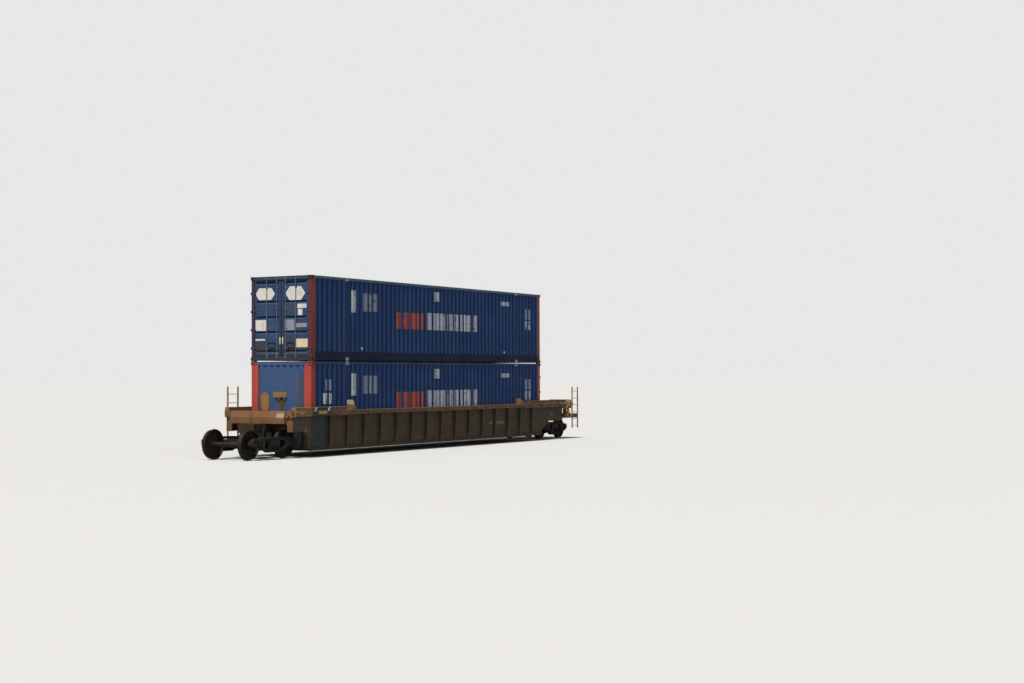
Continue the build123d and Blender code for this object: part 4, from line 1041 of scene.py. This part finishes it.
deckBars = [addBlock((first + pitch * step, last + pitch * step), ys, (deckZ, 1.080), 0.001)
            for first, last, pitch, count, ys in ((10.02, 10.032, 0.06, 4, (-1.20, 1.44)),
                                                  (11.02, 11.030, 0.035, 2, (-1.35, 1.44)))
            for step in range(count)]
deckBars += addBolts([(11.11, side * y, z) for side in (-1, 1) for y in (0.35, 0.75, 1.10)
                      for z in (0.94, 1.01)], (1, 0, 0))
finishPiece(deckBars, "deck_fittings", deckPaint)
knuckle = [addRod((11.33, -0.115, 1.031), (11.33, -0.115, 1.045), 0.030, 20),
           addRod((11.33, -0.115, 0.771), (11.33, -0.115, 0.757), 0.030, 20),
           addBlock((11.17, 11.25), (-0.05, 0.03), (1.031, 1.044), 0.005),
           addRod((11.21, -0.01, 1.04), (11.21, -0.01, 1.052), 0.018, 16)]
finishPiece(knuckle, "coupler_fittings", castSteel, "coupler_swing")
print("right end made")

# Grab irons: bars bent at both ends, on bolted feet
grabIron = {"places": ((9.44, 9.90, -1), (9.44, 9.90, 1), (-9.15, -8.69, -1)), "height": 1.545,
            "root": 1.5, "footThick": 0.008,
            "bend": ((0.011, 1.5), (0.011, 1.528), (0.016, 1.540), (0.030, 1.545))}
irons = []
for first, last, side in grabIron["places"]:
    z, root, foot = grabIron["height"], side * grabIron["root"], side * grabIron["footThick"]
    points = [(first + along, side * out, z) for along, out in grabIron["bend"]]
    points += [(last - along, side * out, z) for along, out in reversed(grabIron["bend"])]
    irons.append(bentRod(points, 0.0105))
    for x in (first + 0.011, last - 0.011):
        irons.append(addBlock(span(x, 0.022), (root, root + foot), span(z, 0.035), 0.002))
        irons += addBolts([(x, root + foot, z + rise) for rise in (-0.024, 0.024)],
                          (0, side, 0), 0.008, 0.007)
piece = finishPiece(irons, "bent_grab_irons", ladderPaint)
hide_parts("grab_irons")

# Ladders: bolts through the rails at each rung, and brackets to the car
ladder = {"sets": (((10.57, 11.08), -1, 1.48, 0.45), ((-9.035, -8.495), 1, 1.5, 0.53)),
          "depth": 0.04, "firstRung": 0.11, "pitch": 0.3, "rungs": 6, "bracketY": -1.52,
          "bracketZs": (0.95, 1.02)}
ladderBits = []
for rails, side, face, foot in ladder["sets"]:
    ladderBits += addBolts([(x, side * (face + ladder["depth"]),
                             foot + ladder["firstRung"] + ladder["pitch"] * index)
                            for x in rails for index in range(ladder["rungs"])],
                           (0, side, 0), 0.012, 0.008)
ladderBits += addBolts([(x, ladder["bracketY"], z) for x in ladder["sets"][0][0]
                        for z in ladder["bracketZs"]], (0, -1, 0), 0.010, 0.008)
finishPiece(ladderBits, "ladder_bolts", ladderPaint)
print("ladders and grab irons made")

# Truck details: edge ribs on the side frames, bolster ends, brake rods and shoe keys
truckSets = [("left", -9.8, 0.5075, 0.915), ("right", 9.8, 0.444, 0.865)]
truckTrim = {"frameOut": 1.08, "rib": 0.010, "bolsterEnd": 1.12, "pad": 0.014, "beamX": 0.28,
             "shoeY": 0.763}
for truck, centreX, axleZ, halfBase in truckSets:
    parts, bolts = [], {-1: [], 1: []}
    outlines = [
        # along from the truck's middle, height
        [(0.23, 0.74), (0.38, 0.74), (halfBase - 0.04, axleZ + 0.205),
         (halfBase + 0.06, axleZ + 0.205), (halfBase + 0.06, axleZ + 0.175),
         (halfBase - 0.05, axleZ + 0.175), (0.37, 0.708), (0.23, 0.708)],
        [(0.23, axleZ - 0.26), (0.33, axleZ - 0.26), (halfBase - 0.19, axleZ - 0.06),
         (halfBase - 0.19, axleZ - 0.03), (0.32, axleZ - 0.23), (0.23, axleZ - 0.23)],
        [(halfBase + 0.15, axleZ - 0.015), (halfBase + 0.185, axleZ - 0.015),
         (halfBase + 0.185, axleZ + 0.145), (halfBase + 0.15, axleZ + 0.165)],
    ]
    for side in (-1, 1):
        face = side * truckTrim["frameOut"]
        padFace = face + side * truckTrim["pad"]
        for direction in (-1, 1):
            for outline in outlines:
                points = [(centreX + direction * along, up) for along, up in outline]
                parts.append(addPlate(points, 1, face, side * truckTrim["rib"]))
            axleX = centreX + direction * halfBase
            parts.append(addBlock(span(axleX, 0.085), (face, padFace),
                                  (axleZ + 0.115, axleZ + 0.165), 0.006))
            bolts[side] += [(axleX + step, padFace, axleZ + 0.14) for step in (-0.055, 0.055)]
        bolsterFace = side * (truckTrim["bolsterEnd"] + 0.010)
        parts.append(addBlock(span(centreX, 0.15), (side * truckTrim["bolsterEnd"], bolsterFace),
                              (0.475, 0.605), 0.006))
        bolts[side] += [(centreX + step, bolsterFace, z) for step in (-0.12, 0.12)
                        for z in (0.50, 0.58)]
    for side in (-1, 1):
        parts += addBolts(bolts[side], (0, side, 0), 0.012, 0.010)
    beamZ = axleZ - 0.08
    for y in (-0.16, 0.16):
        first, last = [(x, y, beamZ - 0.036) for x in span(centreX, truckTrim["beamX"])]
        parts.append(addRod(first, last, 0.014, 14))
    for direction in (-1, 1):
        beamX = centreX + direction * truckTrim["beamX"]
        parts.append(addBlock(span(beamX, 0.022), (-0.03, 0.03), (beamZ - 0.05, beamZ + 0.10),
                              0.006))
        for side in (-1, 1):
            for z in (beamZ - 0.085, beamZ + 0.075):
                parts.append(addBlock((beamX + direction * 0.02, beamX + direction * 0.055),
                                      span(side * truckTrim["shoeY"], 0.028), (z, z + 0.022),
                                      0.003))
    finishPiece(parts, "truck_fittings_" + truck, castSteel, "truck_" + truck)
print("truck details made")

# Levers of the locks between the containers
lock = {"x": 7.93, "root": 1.27, "out": 1.285, "z": 3.265, "tipZ": 3.262, "reach": 0.09}
levers = []
for end in (-1, 1):
    for side in (-1, 1):
        x, y = end * lock["x"], side * lock["out"]
        levers.append(addRod((x, side * lock["root"], lock["z"]), (x, y, lock["z"]), 0.008))
        levers.append(addRod((x, y, lock["z"]), (x - end * lock["reach"], y, lock["tipZ"]), 0.006))
finishPiece(levers, "lock_levers", zincCoat)
print("lock levers made")

# Camera at the photograph's viewpoint
viewPoint = {"place": (-52.0218716, -34.1090193, 2.71378831), "azimuth": 1.05339728,
             "elevation": 0.0216087911, "roll": -0.00347705832, "lens": 56.6431}
cameraData = bpy.data.cameras.new("camera")
cameraData.lens = viewPoint["lens"]
cameraData.sensor_width = 36
cameraData.clip_end = 2000
camera = placeObject("camera", cameraData)
turn = (Matrix.Rotation(-viewPoint["azimuth"], 4, "Z")
        @ Matrix.Rotation(pi / 2 + viewPoint["elevation"], 4, "X")
        @ Matrix.Rotation(viewPoint["roll"], 4, "Z"))
camera.matrix_world = Matrix.Translation(viewPoint["place"]) @ turn
bpy.context.scene.camera = camera

# Soft studio light: the key on the left end, a weaker fill on the near side
lamps = [
    # name, energy, softness in degrees, direction, tint
    ("keyLight", 5.2, 12, (0.50, 0.045, -0.86), (1.0, 0.97, 0.92)),
    ("fillLight", 0.40, 60, (0.35, 0.85, -0.30), (0.86, 0.93, 1.0)),
]
for lampName, energy, softness, direction, tint in lamps:
    lampData = bpy.data.lights.new(lampName, "SUN")
    lampData.energy = energy
    lampData.color = tint
    lampData.angle = radians(softness)
    lamp = placeObject(lampName, lampData)
    lamp.rotation_mode = "QUATERNION"
    lamp.rotation_quaternion = Vector(direction).to_track_quat("-Z", "Y")

# World and floor: brighter for the camera than for the light that falls on the part
studio = {"worldLight": 0.24, "worldSeen": 0.80, "glossyShare": 0.05,
          "floorLight": (0.24, 0.24, 0.24), "floorSeen": (0.50, 0.50, 0.495)}
world = bpy.data.worlds.new("studio")
bpy.context.scene.world = world
world.use_nodes = True
worldTree = world.node_tree
background = worldTree.nodes["Background"]
background.inputs["Color"].default_value = (1, 1, 1, 1)
rays = worldTree.nodes.new("ShaderNodeLightPath")
seen = mathOf(worldTree, "MAXIMUM", rays.outputs["Is Camera Ray"],
              times(worldTree, rays.outputs["Is Glossy Ray"], studio["glossyShare"]))
worldTree.links.new(between(worldTree, seen, 0.0, 1.0, studio["worldLight"], studio["worldSeen"]),
                    background.inputs["Strength"])

deselectAll()
bpy.ops.mesh.primitive_plane_add(size=1200)
floor = bpy.context.active_object
floor.name = "floor"
floorMaterial, floorTree = startMaterial("paleFloor")
floorShader = floorTree.nodes["Principled BSDF"]
floorRays = floorTree.nodes.new("ShaderNodeLightPath")
floorTree.links.new(mixOf(floorTree, floorRays.outputs["Is Camera Ray"], studio["floorLight"],
                          studio["floorSeen"]), floorShader.inputs["Base Color"])
floorShader.inputs["Roughness"].default_value = 0.9
floor.data.materials.append(floorMaterial)
print("camera and light made")

bpy.context.scene.view_settings.view_transform = "Standard"
